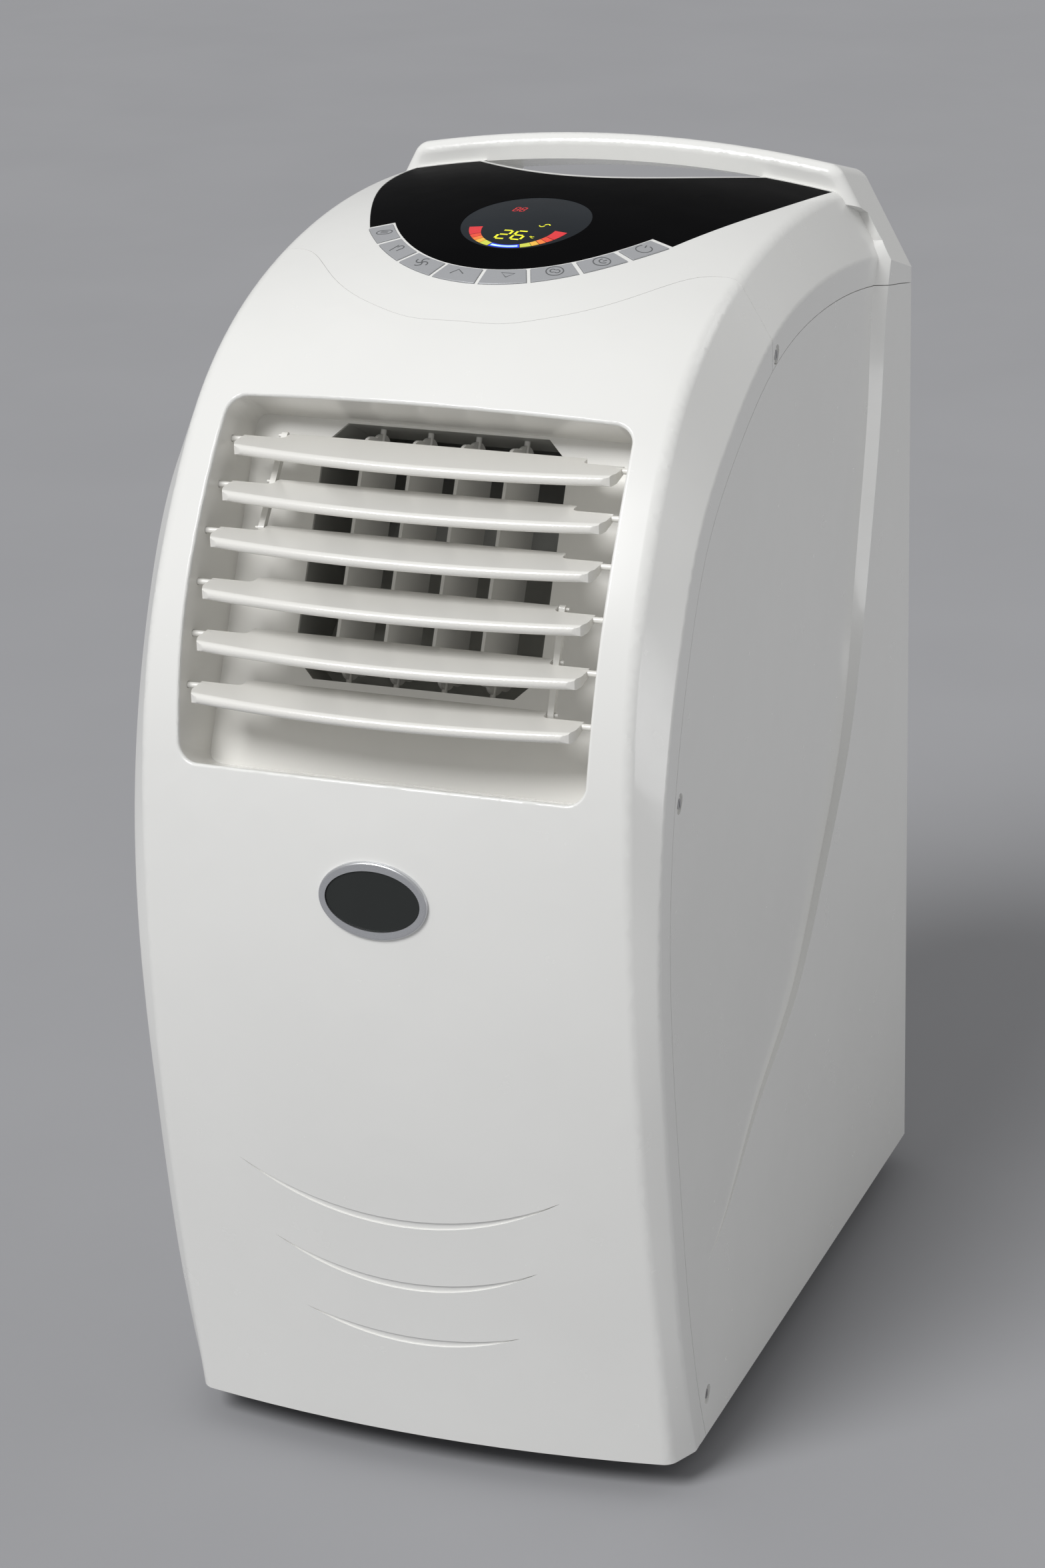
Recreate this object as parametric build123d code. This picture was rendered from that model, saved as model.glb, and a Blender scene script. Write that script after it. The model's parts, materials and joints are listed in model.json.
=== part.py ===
"""Portable air conditioner: bowed moulded case on castors, swinging louvres, two blowers, two coils, compressor.

Working frame while modelling: X to the right in the front view, Y from the front to the rear, Z up from the
case's lower rim.  PLACED moves every piece to the final frame, whose origin is on the floor under the middle
of the machine.
"""
import os
from functools import cache
from math import cos, hypot, radians, sin, tan

from build123d import *

# ---------------------------------------------------------------- driving dimensions (mm)
DEPTH = 590.0              # front datum to rear wall
FLOOR_GAP = 25.0           # lower rim above the floor
COLLAR_STANDOFF = 14.2     # hose collar behind the rear wall, as much as the badge ahead of the front datum
BOW = 15.0                 # crown of the front and top across the width
WALL = 3.0                 # moulding thickness
SEAM = 0.5                 # gap between two mouldings
SEAM_SETBACK = 20.0        # side seam inside the outer crease
FIT = 0.3                  # clearance of a moving piece

# side view of the two creases that bound the bevel: (y, z)
FRONT_CREASE = [(60, -12), (37, 110), (17, 225), (3, 420), (33, 598), (72, 663), (122, 720),
                (262, 777), (430, 786), (610, 766)]
SIDE_CREASE = [(85, -12), (50, 110), (30, 240), (18, 360), (28, 482), (66, 590), (106, 652),
               (180, 704), (261, 737), (370, 748), (480, 738), (610, 712)]
CREASE_HALF_WIDTH = 173.8  # front crease at the lower rim
CREASE_LEAN = 0.0152       # its inward lean per mm of height
SIDE_HALF_WIDTH = 183.9    # sunk side face at the front datum
FRONT_CREASE_RADIUS = 12.0
SIDE_CREASE_RADIUS = 8.0

# raised band: handle across the top and a column down each rear corner
BAND_HALF_WIDTH = 181.8    # band face at the front datum
BAND_FLARE = 0.035         # widening per mm towards the rear
BAND_LEAN = 0.007          # narrowing per mm of height
BAND_SLOPE = 0.28          # fall of the handle's top per mm towards the rear
BAND_END_FALL = 35.0       # its front end leans back by this much towards the rim, behind the bevel
REAR_RADIUS = 7.0
BROW_RADIUS = 8.0          # front edge of the handle and the bevels
BROW_WALL = 7.0            # moulding thickness behind those rounded edges, above BROW_FOOT
BROW_FOOT = 715.0
LIP_RADIUS = 2.0           # rolled edge of the louvre opening
GROOVE_DEPTH = 1.2
SCREW_DEPTH = 1.6
FLANGE_THICKNESS = 2.0
CROWN_SECTION = [(160, 776.5), (0, 791), (208, 687)]   # arc end, crown, bevel foot at the rear wall: (x, z)
CROWN_CORNER_RADIUS = 14.0
# the ramp's foot on the sunk side and its crest on the band, top to bottom: (y, z)
RAMP_HEAD = [(512, 860), (512, 770), (533, 760)]
RAMP_FOOT = [(533, 740), (507, 708), (497, 640), (467, 520), (428, 385), (370, 310), (307, 246),
             (218, 197), (150, 149), (60, 128)]
RAMP_CREST = [(541, 740), (531, 708), (519, 640), (489, 520), (432, 386), (372, 311), (308, 245),
              (219, 197), (151, 148), (60, 127)]
RAMP_FOOT_X = 184.0
RAMP_CREST_X = 200.0
RAMP_OUTER_X = 216.0
HANDLE_HALF_SPAN = 101.0   # straight front of the handle, between the ramps


SEAM_INSERT = 0.3          # gap round the control insert

# seam between front panel and top cover, in plan: (x, y)
TOP_SEAM = [(0, 166), (31, 167), (56, 176), (80, 190), (102, 210), (122, 236), (145, 260), (165, 264),
            (260, 264)]

# control field on top: two bowed rows bound the buttons, y = base + square x^2 + fourth x^4
BUTTON_INNER = (224.4, 0.0063, 2.6e-7)
BUTTON_OUTER = (204.5, 0.0059, 1.15e-7)
BUTTON_SPLITS = [(0, 0), (28.6, 34.5), (54.9, 64.8), (76.3, 89.7), (92.3, 108.0)]   # x on inner, outer row
BUTTON_RIB = 2.2
BUTTON_TILT = 15.0         # the key travel leans forward by this much
BUTTON_PROUD = 0.8
BUTTON_FLANGE = 0.8
LEDGE_WIDTH = 5.0          # seat of the control insert, inside and outside its edge
INSERT_FLANK = [(108, 290), (129, 347), (143, 397), (153, 455), (158, 508)]
DISPLAY_CENTRE = (0, 305)
DISPLAY_RADII = (44, 50)

# hand opening behind the control field
HAND_FRONT = 425.0         # front edge at the middle
HAND_CURVE = 0.0072        # its bow: y = front + curve x^2
HAND_HALF_WIDTH = 105.0
HAND_FLOOR = [(425, 751), (590, 722)]
HANDLE_THICKNESS = 20.0

# louvre opening, in its own leaning plane: x across, t up the opening, n into the case
LOUVRE_TILT = 27.4
OPENING = (282.0, 246.0, 15.0)      # width, height, corner radius
OPENING_DRAFT = 6.0
TUB_DEPTH = 50.0
TUB_WALL = 2.5
DUCT_MOUTH = (170.0, 170.0, 15.0)
DUCT_CENTRE_T = 153.0
DUCT_DEPTH = 95.0
UPPER_PIVOTS = [(217, 19), (185, 10.5), (153, 2)]
LOWER_PIVOTS = [(119, 1), (85.5, 4), (52, 7)]
BLADE_HALF_LENGTH = 131.0
BLADE_PITCH = 1.0          # blades point this far below the horizontal
BLADE_REACH = (20.0, 32.0)  # ahead of the pivot at the ends and in the middle
BLADE_BEHIND = 16.0
PIVOT_RADIUS = 2.0
LINK_PIN_BEHIND = 13.6
BLADE_NARROW = 4.0         # the blade's narrow ends reach this far behind its pivot
BLADE_STEP = 103.0         # half width of the blade's broad middle
BLADE_ROUND = 8.0          # front corners of the blade in plan
LINK_X = (-106.0, 106.0)
VANE_X = [-50.25, -16.75, 16.75, 50.25]
VANE_DEPTH = 62.0
VANE_SPAN = (71.0, 235.0)
VANE_CHORD = 38.0
VANE_REST = 15.0           # front edges turned towards -X
VANE_PIN_AHEAD = 13.0
VANE_LINK_T = 78.0

BLADE_LIP = 3.7            # radius of the blade's rolled front edge
BLADE_TAIL = 1.3
LINK_THICKNESS = 4.0
LINK_WIDTH = 5.0
LINK_PIN_RADIUS = 1.1
VANE_THICKNESS = 2.5
VANE_LOBE = 9.0
VANE_LINK_HEIGHT = 4.0
DUCT_WALL = 2.5
COLD_Y = (385.0, 455.0)    # cold blower housing, front and rear wall
COLD_WIDTH = 70.0
COLD_OUTLET_Z = 657.0

BADGE_HEIGHT = 429.0
GROOVES = [(115, 217, 32), (95, 157, 25), (78, 99.5, 14.5)]     # half span, height of the ends, sag
SCREW_SPOTS = [(273, 726), (60, 489), (106, 31)]                # side view (y, z)
CASTORS = [(120, 115), (130, 520)]
CASTOR_TRAIL = 15.0
WHEEL_RADIUS = 21.0

REAR_PANEL_TOP = 690.0
BOARD_HEIGHT = 742.0       # control board under the top
BOARD_POSTS_X = 55.0
BOARD_POSTS_Y = (262.0, 348.0)
DECK_HEIGHT = 418.0        # top of the mid deck that carries the cold side
DECK_HALF_WIDTH = 179.0
REAR_THICKNESS = 3.5
REAR_OUTLET = (-95.0, 335.0)        # hose collar: (x, z)
HOSE_RADIUS = 65.0
COLLAR_WALL = 3.0
DUCT_END = 560.0           # rear end of the exhaust duct
FILTER_SIZE = (304.0, 224.0)
FILTER_Z = 550.0
GRILLE_BOTTOM = 50.0
GRILLE_TOP = 242.0
GRILLE_PITCH = 12.0
DRAIN_SPOT = (-150.0, 30.0)
DRAIN_RADIUS = 8.0
CORD_SPOT = (165.0, 345.0)
CORD_HOLE = 7.0

PAN_FLOOR = 5.0
PAN_WALL = 3.0
PAN_RIM = 28.0             # the pan's rim reaches up to just below this
WELL_RADIUS = 42.0
WELL_TOP = 27.0
STEM_RADIUS = 5.0
AXLE_Z = -4.0
AXLE_RADIUS = 3.0
WHEEL_WIDTH = 18.0

COLD_AXIS = (55.0, 543.0)  # evaporator blower: (x, z)
COLD_RADIUS = 90.0
COLD_COIL_Y = (500.0, 530.0)
HOT_AXIS = (-49.0, 115.0)  # condenser blower
HOT_RADIUS = 75.0
HOT_Y = (400.0, 470.0)
HOT_OUTLET_Z = 208.0
HOT_COIL_Y = (500.0, 540.0)
HOT_COIL_Z = (27.0, 250.0)
COIL_HALF_WIDTH = 160.0
SHAFT_RADIUS = 4.0
COMPRESSOR_SPOT = (-80.0, 200.0)
SUCTION_X = 150.0

PLACED = Pos(0, -DEPTH / 2, FLOOR_GAP)


# ---------------------------------------------------------------- outline helpers
def shifted(points, distance):
    """Points of a side-view spline moved by distance along its outward normal."""
    curve = Spline(*points)
    moved = []
    for point in points:
        tangent = curve.tangent_at(curve.param_at_point(Vector(*point, 0)))
        moved.append((point[0] - tangent.Y * distance, point[1] + tangent.X * distance))
    return moved


def side_face(plane, points):
    """Closed face in a side plane: the spline, closed behind and below."""
    first = points[0]
    last = points[-1]
    back = last[0] + 20
    outline = Spline(*points) + Polyline(last, (back, last[1]), (back, first[1]), first)
    return plane * make_face(outline)


def both_sides(shape):
    """A shape and its mirror image across the middle plane."""
    return shape + shape.mirror(Plane.YZ)


def case_room():
    """The box that trims the case: above the lower rim and ahead of the rear wall."""
    return Pos(0, DEPTH, 0) * Box(600, DEPTH + 60, 900, align=(Align.CENTER, Align.MAX, Align.MIN))


# ---------------------------------------------------------------- case forms
@cache
def body_form(inset=0.0, rounded=False):
    """The bowed front and top with its bevels and sunk sides, its faces moved in by inset."""
    crease_plane = Plane(origin=(CREASE_HALF_WIDTH - 0.6 * inset, 0, 0), x_dir=(0, 1, 0),
                         z_dir=(1, 0, CREASE_LEAN))
    side_plane = Plane(origin=(SIDE_HALF_WIDTH - inset, 0, 0), x_dir=(0.010, 1, 0),
                       z_dir=(1, -0.010, 0.002))
    middle = side_face(Plane.YZ, shifted(FRONT_CREASE, BOW - inset))
    crease = side_face(crease_plane, shifted(FRONT_CREASE, -inset))
    side = side_face(side_plane, shifted(SIDE_CREASE, -0.4 * inset))
    centre = loft([crease.mirror(Plane.YZ), middle, crease])
    bevel = loft([crease, side], ruled=True)
    form = (centre + both_sides(bevel)) & case_room()
    if rounded:
        for half_width, radius in ((CREASE_HALF_WIDTH - 9, FRONT_CREASE_RADIUS),
                                   (SIDE_HALF_WIDTH, SIDE_CREASE_RADIUS)):
            creases = [edge for edge in form.edges()
                       if edge.length > 1000 and abs(abs(edge.center().X) - half_width) < 3]
            form = fillet(creases, radius)
    return form


def side_outline(x, head, sweep):
    """Side-view face at x: straight head, swept ramp, closed behind and below."""
    outline = Polyline(*head) + Spline(*sweep)
    outline += Polyline(sweep[-1], (sweep[-1][0] + BAND_END_FALL, -20), (620, -20), (620, 860), head[0])
    return Plane(origin=(x, 0, 0), x_dir=(0, 1, 0), z_dir=(1, 0, 0)) * make_face(outline)


def ramp_form():
    """Everything behind the band's front boundary on the +X side: upright inside, leaning ramp outside."""
    spread = (RAMP_OUTER_X - RAMP_FOOT_X) / (RAMP_CREST_X - RAMP_FOOT_X)
    outer = [(foot[0] + spread * (crest[0] - foot[0]), foot[1] + spread * (crest[1] - foot[1]))
             for foot, crest in zip(RAMP_FOOT, RAMP_CREST)]
    foot_face = side_outline(RAMP_FOOT_X, RAMP_HEAD + [RAMP_FOOT[0]], RAMP_FOOT)
    outer_face = side_outline(RAMP_OUTER_X, RAMP_HEAD + [outer[0]], outer)
    inside = extrude(foot_face, amount=RAMP_FOOT_X - HANDLE_HALF_SPAN + 1, dir=(-1, 0, 0))
    return inside + loft([foot_face, outer_face], ruled=True)


def crown_form(inset=0.0):
    """The band's top in front view, falling towards the rear: a crowned handle with bevelled ends."""
    (arc_x, arc_z), (_, crown_z), (foot_x, foot_z) = CROWN_SECTION
    low = -250.0
    section = ThreePointArc((-arc_x, arc_z), (0, crown_z), (arc_x, arc_z))
    section += Polyline((arc_x, arc_z), (foot_x, foot_z), (foot_x, low), (-foot_x, low),
                        (-foot_x, foot_z), (-arc_x, arc_z))
    section = make_face(section)
    section = fillet([v for v in section.vertices() if v.Y > arc_z - 5], CROWN_CORNER_RADIUS)
    section = Plane(origin=(0, DEPTH, -inset), x_dir=(1, 0, 0), z_dir=(0, -1, 0)) * section
    crown = extrude(section, amount=DEPTH + 20, dir=(0, -1, BAND_SLOPE))
    return crown + extrude(section, amount=20, dir=(0, 1, -BAND_SLOPE))


def band_form(inset=0.0):
    """The raised band: handle, rear bevels and columns, its faces moved in by inset."""
    slices = []
    for height in (-12.0, 860.0):
        near = BAND_HALF_WIDTH - BAND_FLARE * 20 - BAND_LEAN * height - inset
        far = BAND_HALF_WIDTH + BAND_FLARE * 620 - BAND_LEAN * height - inset
        corners = [(-near, -20), (near, -20), (far, 620), (-far, 620)]
        slices.append(Pos(0, 0, height) * make_face(Polyline(*corners, close=True)))
    wedge = loft(slices, ruled=True)
    handle = Pos(0, RAMP_HEAD[0][0], 600) * Box(
        2 * HANDLE_HALF_SPAN, 110, 260, align=(Align.CENTER, Align.MIN, Align.MIN))
    ramp = both_sides(Pos(0, inset, 0) * ramp_form()) + handle
    return wedge & crown_form(inset) & ramp & case_room()


def case_outer():
    """Whole outer form: the bowed body with the raised band on it, its edges rounded."""
    band = band_form()
    brow = [edge for edge in band.edges()
            if edge.center().Y < 525 and (edge.center().Z > 783
                                          or (abs(edge.center().X) > 165 and edge.center().Z > 765))]
    band = fillet(brow, BROW_RADIUS)
    rear = [edge for edge in band.edges()
            if edge.bounding_box().min.Y > DEPTH - 1 and edge.center().Z > 1
            and (abs(edge.center().X) > 150 or edge.center().Z > 700)]
    band = fillet(rear, REAR_RADIUS)
    body = body_form(rounded=True) - Pos(0, DEPTH, 400) * Box(600, 4 * REAR_RADIUS, 900)
    return body + band


def case_cavity():
    """Room inside the mouldings: the body's inside and the hollow of the band beside the hand opening."""
    hollow = band_form(WALL) & Pos(0, -WALL, 0) * case_room()
    upper = Pos(0, 0, BROW_FOOT) * Box(600, 1300, 300, align=(Align.CENTER, Align.CENTER, Align.MIN))
    hollow -= [upper - band_form(BROW_WALL), Box(2 * (HAND_HALF_WIDTH + 2 * WALL), 1300, 1800)]
    return body_form(WALL) + hollow


def inside_seam(gap):
    """Everything inside the side seam as seen from the side, on both flanks, grown by gap."""
    plane = Plane(origin=(112, 0, 0), x_dir=(0, 1, 0), z_dir=(1, 0, 0))
    flank = extrude(side_face(plane, shifted(SIDE_CREASE, gap - SEAM_SETBACK)), amount=120)
    return both_sides(flank)


def ahead_of_seam(gap):
    """Everything ahead of the seam between front panel and top cover, its edge moved back by gap."""
    points = [(-x, y + gap) for x, y in reversed(TOP_SEAM[1:])] + [(x, y + gap) for x, y in TOP_SEAM]
    outline = Polyline(points[0], points[1]) + Spline(*points[1:-1]) + Polyline(points[-2], points[-1])
    outline += Polyline(points[-1], (points[-1][0], -80), (points[0][0], -80), points[0])
    return extrude(make_face(outline), amount=900)


# ---------------------------------------------------------------- front panel
def in_louvre(x, t, n):
    """Location at x across, t up the louvre opening and n into the case."""
    tilt = radians(LOUVRE_TILT)
    plane = Plane(origin=(0, -5, 506), x_dir=(1, 0, 0), z_dir=(0, -cos(tilt), sin(tilt)))
    return plane.location * Pos(x, t, -n)


def opening_form(front, rear, grow=0.0):
    """Drafted rounded block of the louvre recess from depth front to depth rear."""
    width, height, radius = OPENING
    slices = []
    for depth in (front, rear):
        draft = (depth + 12) * tan(radians(OPENING_DRAFT)) - grow
        face = RectangleRounded(width - 2 * draft, height - 2 * draft, radius - draft)
        slices.append(in_louvre(0, height / 2, depth) * face)
    return loft(slices, ruled=True)


def crescent(half_span, ends, sag):
    """Moon-shaped groove, cut a little way into the front."""
    belly = ends - sag
    outline = ThreePointArc((-half_span, ends), (0, belly + 3), (half_span, ends))
    outline += ThreePointArc((half_span, ends), (0, belly - 3), (-half_span, ends))
    plane = Plane(origin=(0, 60, 0), x_dir=(1, 0, 0), z_dir=(0, -1, 0))
    return extrude(plane * make_face(outline), amount=100)


def seam_flange(region):
    """Joint flange under the case wall within a region round a seam."""
    return (region & body_form(WALL)) - body_form(WALL + FLANGE_THICKNESS)


def front_panel(skin):
    """Bowed front: louvre opening with a rolled lip, three crescent grooves, joint flange under the top."""
    core = body_form(GROOVE_DEPTH)
    panel = (skin & ahead_of_seam(-SEAM / 2)) - inside_seam(SEAM / 2)
    across = Pos(0, 200, 700) * Box(300, 300, 300)
    panel += seam_flange((ahead_of_seam(6) - ahead_of_seam(-8)) & across)
    panel -= opening_form(-60, 90)
    lip = []
    for edge in panel.edges():
        middle = edge.position_at(0.5)
        by_opening = abs(middle.X) < OPENING[0] / 2 + 1 and middle.Y < 150 and 500 < middle.Z < 735
        if by_opening and edge.length > 2 * WALL and not core.is_inside(middle):
            lip.append(edge)
    panel = fillet(lip, LIP_RADIUS)
    for groove in GROOVES:
        panel -= crescent(*groove) - core
    return panel


def badge_ellipse(width, height, start, end):
    """Elliptic block on the badge's axis from y start to y end."""
    plane = Plane(origin=(0, start, BADGE_HEIGHT), x_dir=(1, 0, 0), z_dir=(0, 1, 0))
    return extrude(plane * Ellipse(width / 2, height / 2), amount=end - start)


def badge_ring():
    """Raised oval ring on the front, its outer edge rounded."""
    ring = badge_ellipse(75, 54, -14.2, 0)
    ring = fillet(ring.edges().group_by(Axis.Y)[0], 1.6)
    ring -= badge_ellipse(65.4, 42.4, -20, 5)
    return ring - body_form()


def badge_oval():
    """Bare oval field inside the ring, slightly domed over its edge."""
    field = badge_ellipse(65, 42, -13.2, 0)
    field = fillet(field.edges().group_by(Axis.Y)[0], 0.6)
    return field - body_form()


# ---------------------------------------------------------------- side panels
def screw_recess(y, z):
    """Oval countersink in both flanks."""
    plane = Plane(origin=(0, y, z), x_dir=(0, 1, 0), z_dir=(1, 0, 0))
    oval = extrude(plane * SlotOverall(14, 9, rotation=60), amount=230)
    return both_sides(oval - body_form(SCREW_DEPTH))


def side_panel(skin):
    """Right flank: the sunk side with its screw recesses, the ramp and the rear column."""
    half = Pos(200, DEPTH - 8, 400) * Box(398, 1200, 1000, align=(Align.CENTER, Align.MAX, Align.CENTER))
    panel = skin & inside_seam(-SEAM / 2) & Pos(0, 20, 0) * half
    panel += seam_flange((inside_seam(6) - inside_seam(-8)) & Pos(0, 0, 100 + PAN_RIM) * half)
    for spot in SCREW_SPOTS[1:]:
        panel -= screw_recess(*spot)
    slot = Plane(origin=(150, 456, 35), x_dir=(0, 1, 0), z_dir=(1, 0, 0)) * SlotOverall(12, 6, rotation=90)
    return panel - both_sides(extrude(slot, amount=100))


def shell_screws():
    """Pan-head screws in the recesses of both flanks."""
    screws = []
    for y, z in SCREW_SPOTS:
        x = SIDE_HALF_WIDTH + 0.010 * y - 0.002 * z
        head = Plane(origin=(x - SCREW_DEPTH - 0.5, y, z), x_dir=(0, 1, 0), z_dir=(1, 0, 0)) * Cylinder(
            3.4, 1.9, align=(Align.CENTER, Align.CENTER, Align.MIN))
        head -= Pos(x, y, z) * Rot(15, 0, 0) * Box(1.4, 0.9, 5.0)
        head -= body_form(SCREW_DEPTH)
        screws += [head, head.mirror(Plane.YZ)]
    return Compound(children=[solid for screw in screws for solid in screw.solids()])


# ---------------------------------------------------------------- top cover
def row_point(row, x):
    """Plan point on a bowed row of the button field."""
    base, square, fourth = row
    return (x, base + square * x ** 2 + fourth * x ** 4)


def row_arc(row, start, end):
    """Arc along a bowed row between two x values."""
    return ThreePointArc(row_point(row, start), row_point(row, (start + end) / 2), row_point(row, end))


def insert_plan(grow=0.0):
    """Plan of the black control field, from the button row back to the hand opening, grown by grow."""
    base, square, fourth = BUTTON_INNER
    row_shape = (base - grow, square, fourth)
    inner_end = BUTTON_SPLITS[-1][0]
    row = [row_point(row_shape, x) for x in (-inner_end, -70, -35, 0, 35, 70, inner_end)]
    flank = [(x + grow, y + grow * ((y > 500) - (y < 300))) for x, y in INSERT_FLANK]
    left = [(-x, y) for x, y in flank]
    front_y = HAND_FRONT - 3 + grow
    rear_y = flank[-1][1]
    half = ((rear_y - front_y) / HAND_CURVE) ** 0.5
    rear = Bezier((half, rear_y), (0, 2 * front_y - rear_y), (-half, rear_y))
    outline = Spline(*row) + Line(row[-1], flank[0]) + Spline(*flank) + Line(flank[-1], (half, rear_y))
    outline += rear + Line((-half, rear_y), left[-1]) + Spline(*reversed(left)) + Line(left[0], row[0])
    return make_face(outline)


def display_plan(grow=0.0):
    """Oval of the display window in plan."""
    across, along = DISPLAY_RADII
    return Pos(*DISPLAY_CENTRE) * Ellipse(across + grow, along + grow)


def upright(face):
    """Plan face drawn up through the whole top."""
    return Pos(0, 0, 600) * extrude(face, amount=300)


def hand_plan(grow=0.0):
    """Plan of the hand opening: bowed front edge, straight sides, open at the rear."""
    half = HAND_HALF_WIDTH + grow
    front = HAND_FRONT - grow
    corner = front + HAND_CURVE * half ** 2
    outline = Bezier((-half, corner), (0, 2 * front - corner), (half, corner))
    outline += Polyline((half, corner), (half, 640), (-half, 640), (-half, corner))
    return make_face(outline)


def hand_floor(drop=0.0):
    """Everything above the hand opening's sloping floor."""
    (front_y, front_z), (rear_y, rear_z) = HAND_FLOOR
    fall = (rear_z - front_z) / (rear_y - front_y)
    low = [(y, front_z - drop + fall * (y - front_y)) for y in (380, 660)]
    outline = Polyline(low[0], low[1], (660, 900), (380, 900), close=True)
    plane = Plane(origin=(-150, 0, 0), x_dir=(0, 1, 0), z_dir=(1, 0, 0))
    return extrude(plane * make_face(outline), amount=300)


def hand_void():
    """Air of the hand opening: open above ahead of the handle, roofed by the handle's underside."""
    ahead = Pos(0, RAMP_HEAD[0][0], 600) * Box(400, 300, 400, align=(Align.CENTER, Align.MAX, Align.MIN))
    return upright(hand_plan()) & hand_floor() & (ahead + crown_form(HANDLE_THICKNESS))


def key_block(face):
    """Plan face drawn along the leaning key axis, through the whole top."""
    lean = radians(BUTTON_TILT)
    foot = Pos(0, 720 * tan(lean), 0) * face
    return extrude(Pos(0, 0, 60) * foot, amount=900, dir=(0, -sin(lean), cos(lean)))


def key_row(grow):
    """Block of the whole bow of keys, grown sideways."""
    inner_end, outer_end = BUTTON_SPLITS[-1]
    rows = []
    for row, end, away in ((BUTTON_INNER, inner_end, grow), (BUTTON_OUTER, outer_end, -grow)):
        moved = []
        for share in (-1, -0.8, -0.6, -0.4, -0.2, 0, 0.2, 0.4, 0.6, 0.8, 1):
            x, y = row_point(row, (end + grow) * share)
            slope = 2 * row[1] * x + 4 * row[2] * x ** 3
            length = hypot(1, slope)
            moved.append((x - away * slope / length, y + away / length))
        rows.append(moved)
    inner, outer = rows
    outline = Spline(*inner) + Line(inner[-1], outer[-1]) + Spline(*reversed(outer)) + Line(outer[0], inner[0])
    return key_block(make_face(outline))


def button_cell(index, side, grow):
    """Block of one button along the leaning key axis, grown sideways."""
    inner_near, outer_near = BUTTON_SPLITS[index]
    inner_far, outer_far = BUTTON_SPLITS[index + 1]
    trim = BUTTON_RIB / 2
    last = index + 2 == len(BUTTON_SPLITS)
    far_trim = FIT if last else trim
    inner = row_arc((BUTTON_INNER[0] - 0.5,) + BUTTON_INNER[1:], inner_near + trim, inner_far - far_trim)
    outer = row_arc(BUTTON_OUTER, outer_near + trim, outer_far - far_trim)
    outline = inner + Line(inner @ 1, outer @ 1) + outer + Line(outer @ 0, inner @ 0)
    face = make_face(outline)
    if grow != FIT:
        face = offset(face, grow - FIT, kind=Kind.INTERSECTION)
    block = key_block(face)
    return block if side > 0 else block.mirror(Plane.YZ)


def top_cover(skin, outer):
    """Top moulding: handle and hand opening, button sockets, seat of the control field, rear lip."""
    inside = body_form(WALL)
    cover = skin - ahead_of_seam(SEAM / 2) - inside_seam(SEAM / 2)
    liner = upright(hand_plan(WALL)) & hand_floor(WALL) & outer
    rear_lip = inside & Pos(0, DEPTH - WALL, REAR_PANEL_TOP + 1) * Box(
        500, 60, 300, align=(Align.CENTER, Align.MIN, Align.MIN))
    ledge = upright(insert_plan(LEDGE_WIDTH)) - upright(insert_plan(-LEDGE_WIDTH))
    ledge = (ledge & inside) - body_form(WALL + 2.5)
    ledge -= key_row(FIT + BUTTON_FLANGE + 0.5)
    cover = cover + liner + rear_lip + ledge
    sockets = [button_cell(index, side, FIT) for index, side in button_places()]
    cover -= [hand_void(), upright(insert_plan(SEAM_INSERT)) - inside] + sockets
    return cover - screw_recess(*SCREW_SPOTS[0])


def button_places():
    """Index outwards from the middle and side of each of the eight buttons, left to right."""
    return [(index, -1) for index in (3, 2, 1, 0)] + [(index, 1) for index in (0, 1, 2, 3)]


def button(index, side):
    """Key cap standing proud of the cover, with a flange that stops it from below."""
    under = body_form(WALL + 0.4)
    cap = (button_cell(index, side, 0) & body_form(-BUTTON_PROUD)) - under
    flange = (button_cell(index, side, FIT + BUTTON_FLANGE) & under) - body_form(WALL + 2)
    return cap + flange


def control_panel():
    """Black control field with the oval hole of the display, and the posts of the board below."""
    field = (upright(insert_plan()) & body_form(0.4)) - body_form(WALL)
    for side in (-1, 1):
        for y in BOARD_POSTS_Y:
            post = Pos(side * BOARD_POSTS_X, y, BOARD_HEIGHT) * Cylinder(
                3.5, 90, align=(Align.CENTER, Align.CENTER, Align.MIN))
            field += post & body_form(WALL - 1)
    return field - upright(display_plan(0.2))


def display_window():
    """Dark window of the display, its flange under the control field."""
    window = (upright(display_plan()) & body_form(0.6)) - body_form(WALL)
    return window + ((upright(display_plan(4)) & body_form(WALL)) - body_form(WALL + 1.2))


# ---------------------------------------------------------------- louvres
def bevelled(width, height, bevel, grow):
    """Rectangle with bevelled corners, grown by grow all round."""
    outline = Rectangle(width + 2 * grow, height + 2 * grow)
    return chamfer(outline.vertices(), bevel + 0.586 * grow)


def mouth_block(front, rear, grow=0.0):
    """Block of the duct mouth between two depths, its corners bevelled."""
    width, height, bevel = DUCT_MOUTH
    face = in_louvre(0, DUCT_CENTRE_T, front) * bevelled(width, height, bevel, grow)
    tilt = radians(LOUVRE_TILT)
    return extrude(face, amount=rear - front, dir=(0, cos(tilt), -sin(tilt)))


def cross_pins(pivots, reach, radius):
    """Short axles at both ends of a row of blades, out to x = reach."""
    pins = []
    for t, n in pivots:
        for side in (-1, 1):
            pins.append(in_louvre(side * (reach - 6), t, n) * Rot(0, 90, 0) * Cylinder(radius, 12))
    return pins


def upright_pins(start, end, radius):
    """Axles along the opening's height at every vane, from start to end."""
    return [in_louvre(x, start, VANE_DEPTH) * Rot(-90, 0, 0) * Cylinder(
        radius, end - start, align=(Align.CENTER, Align.CENTER, Align.MIN)) for x in VANE_X]


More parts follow.
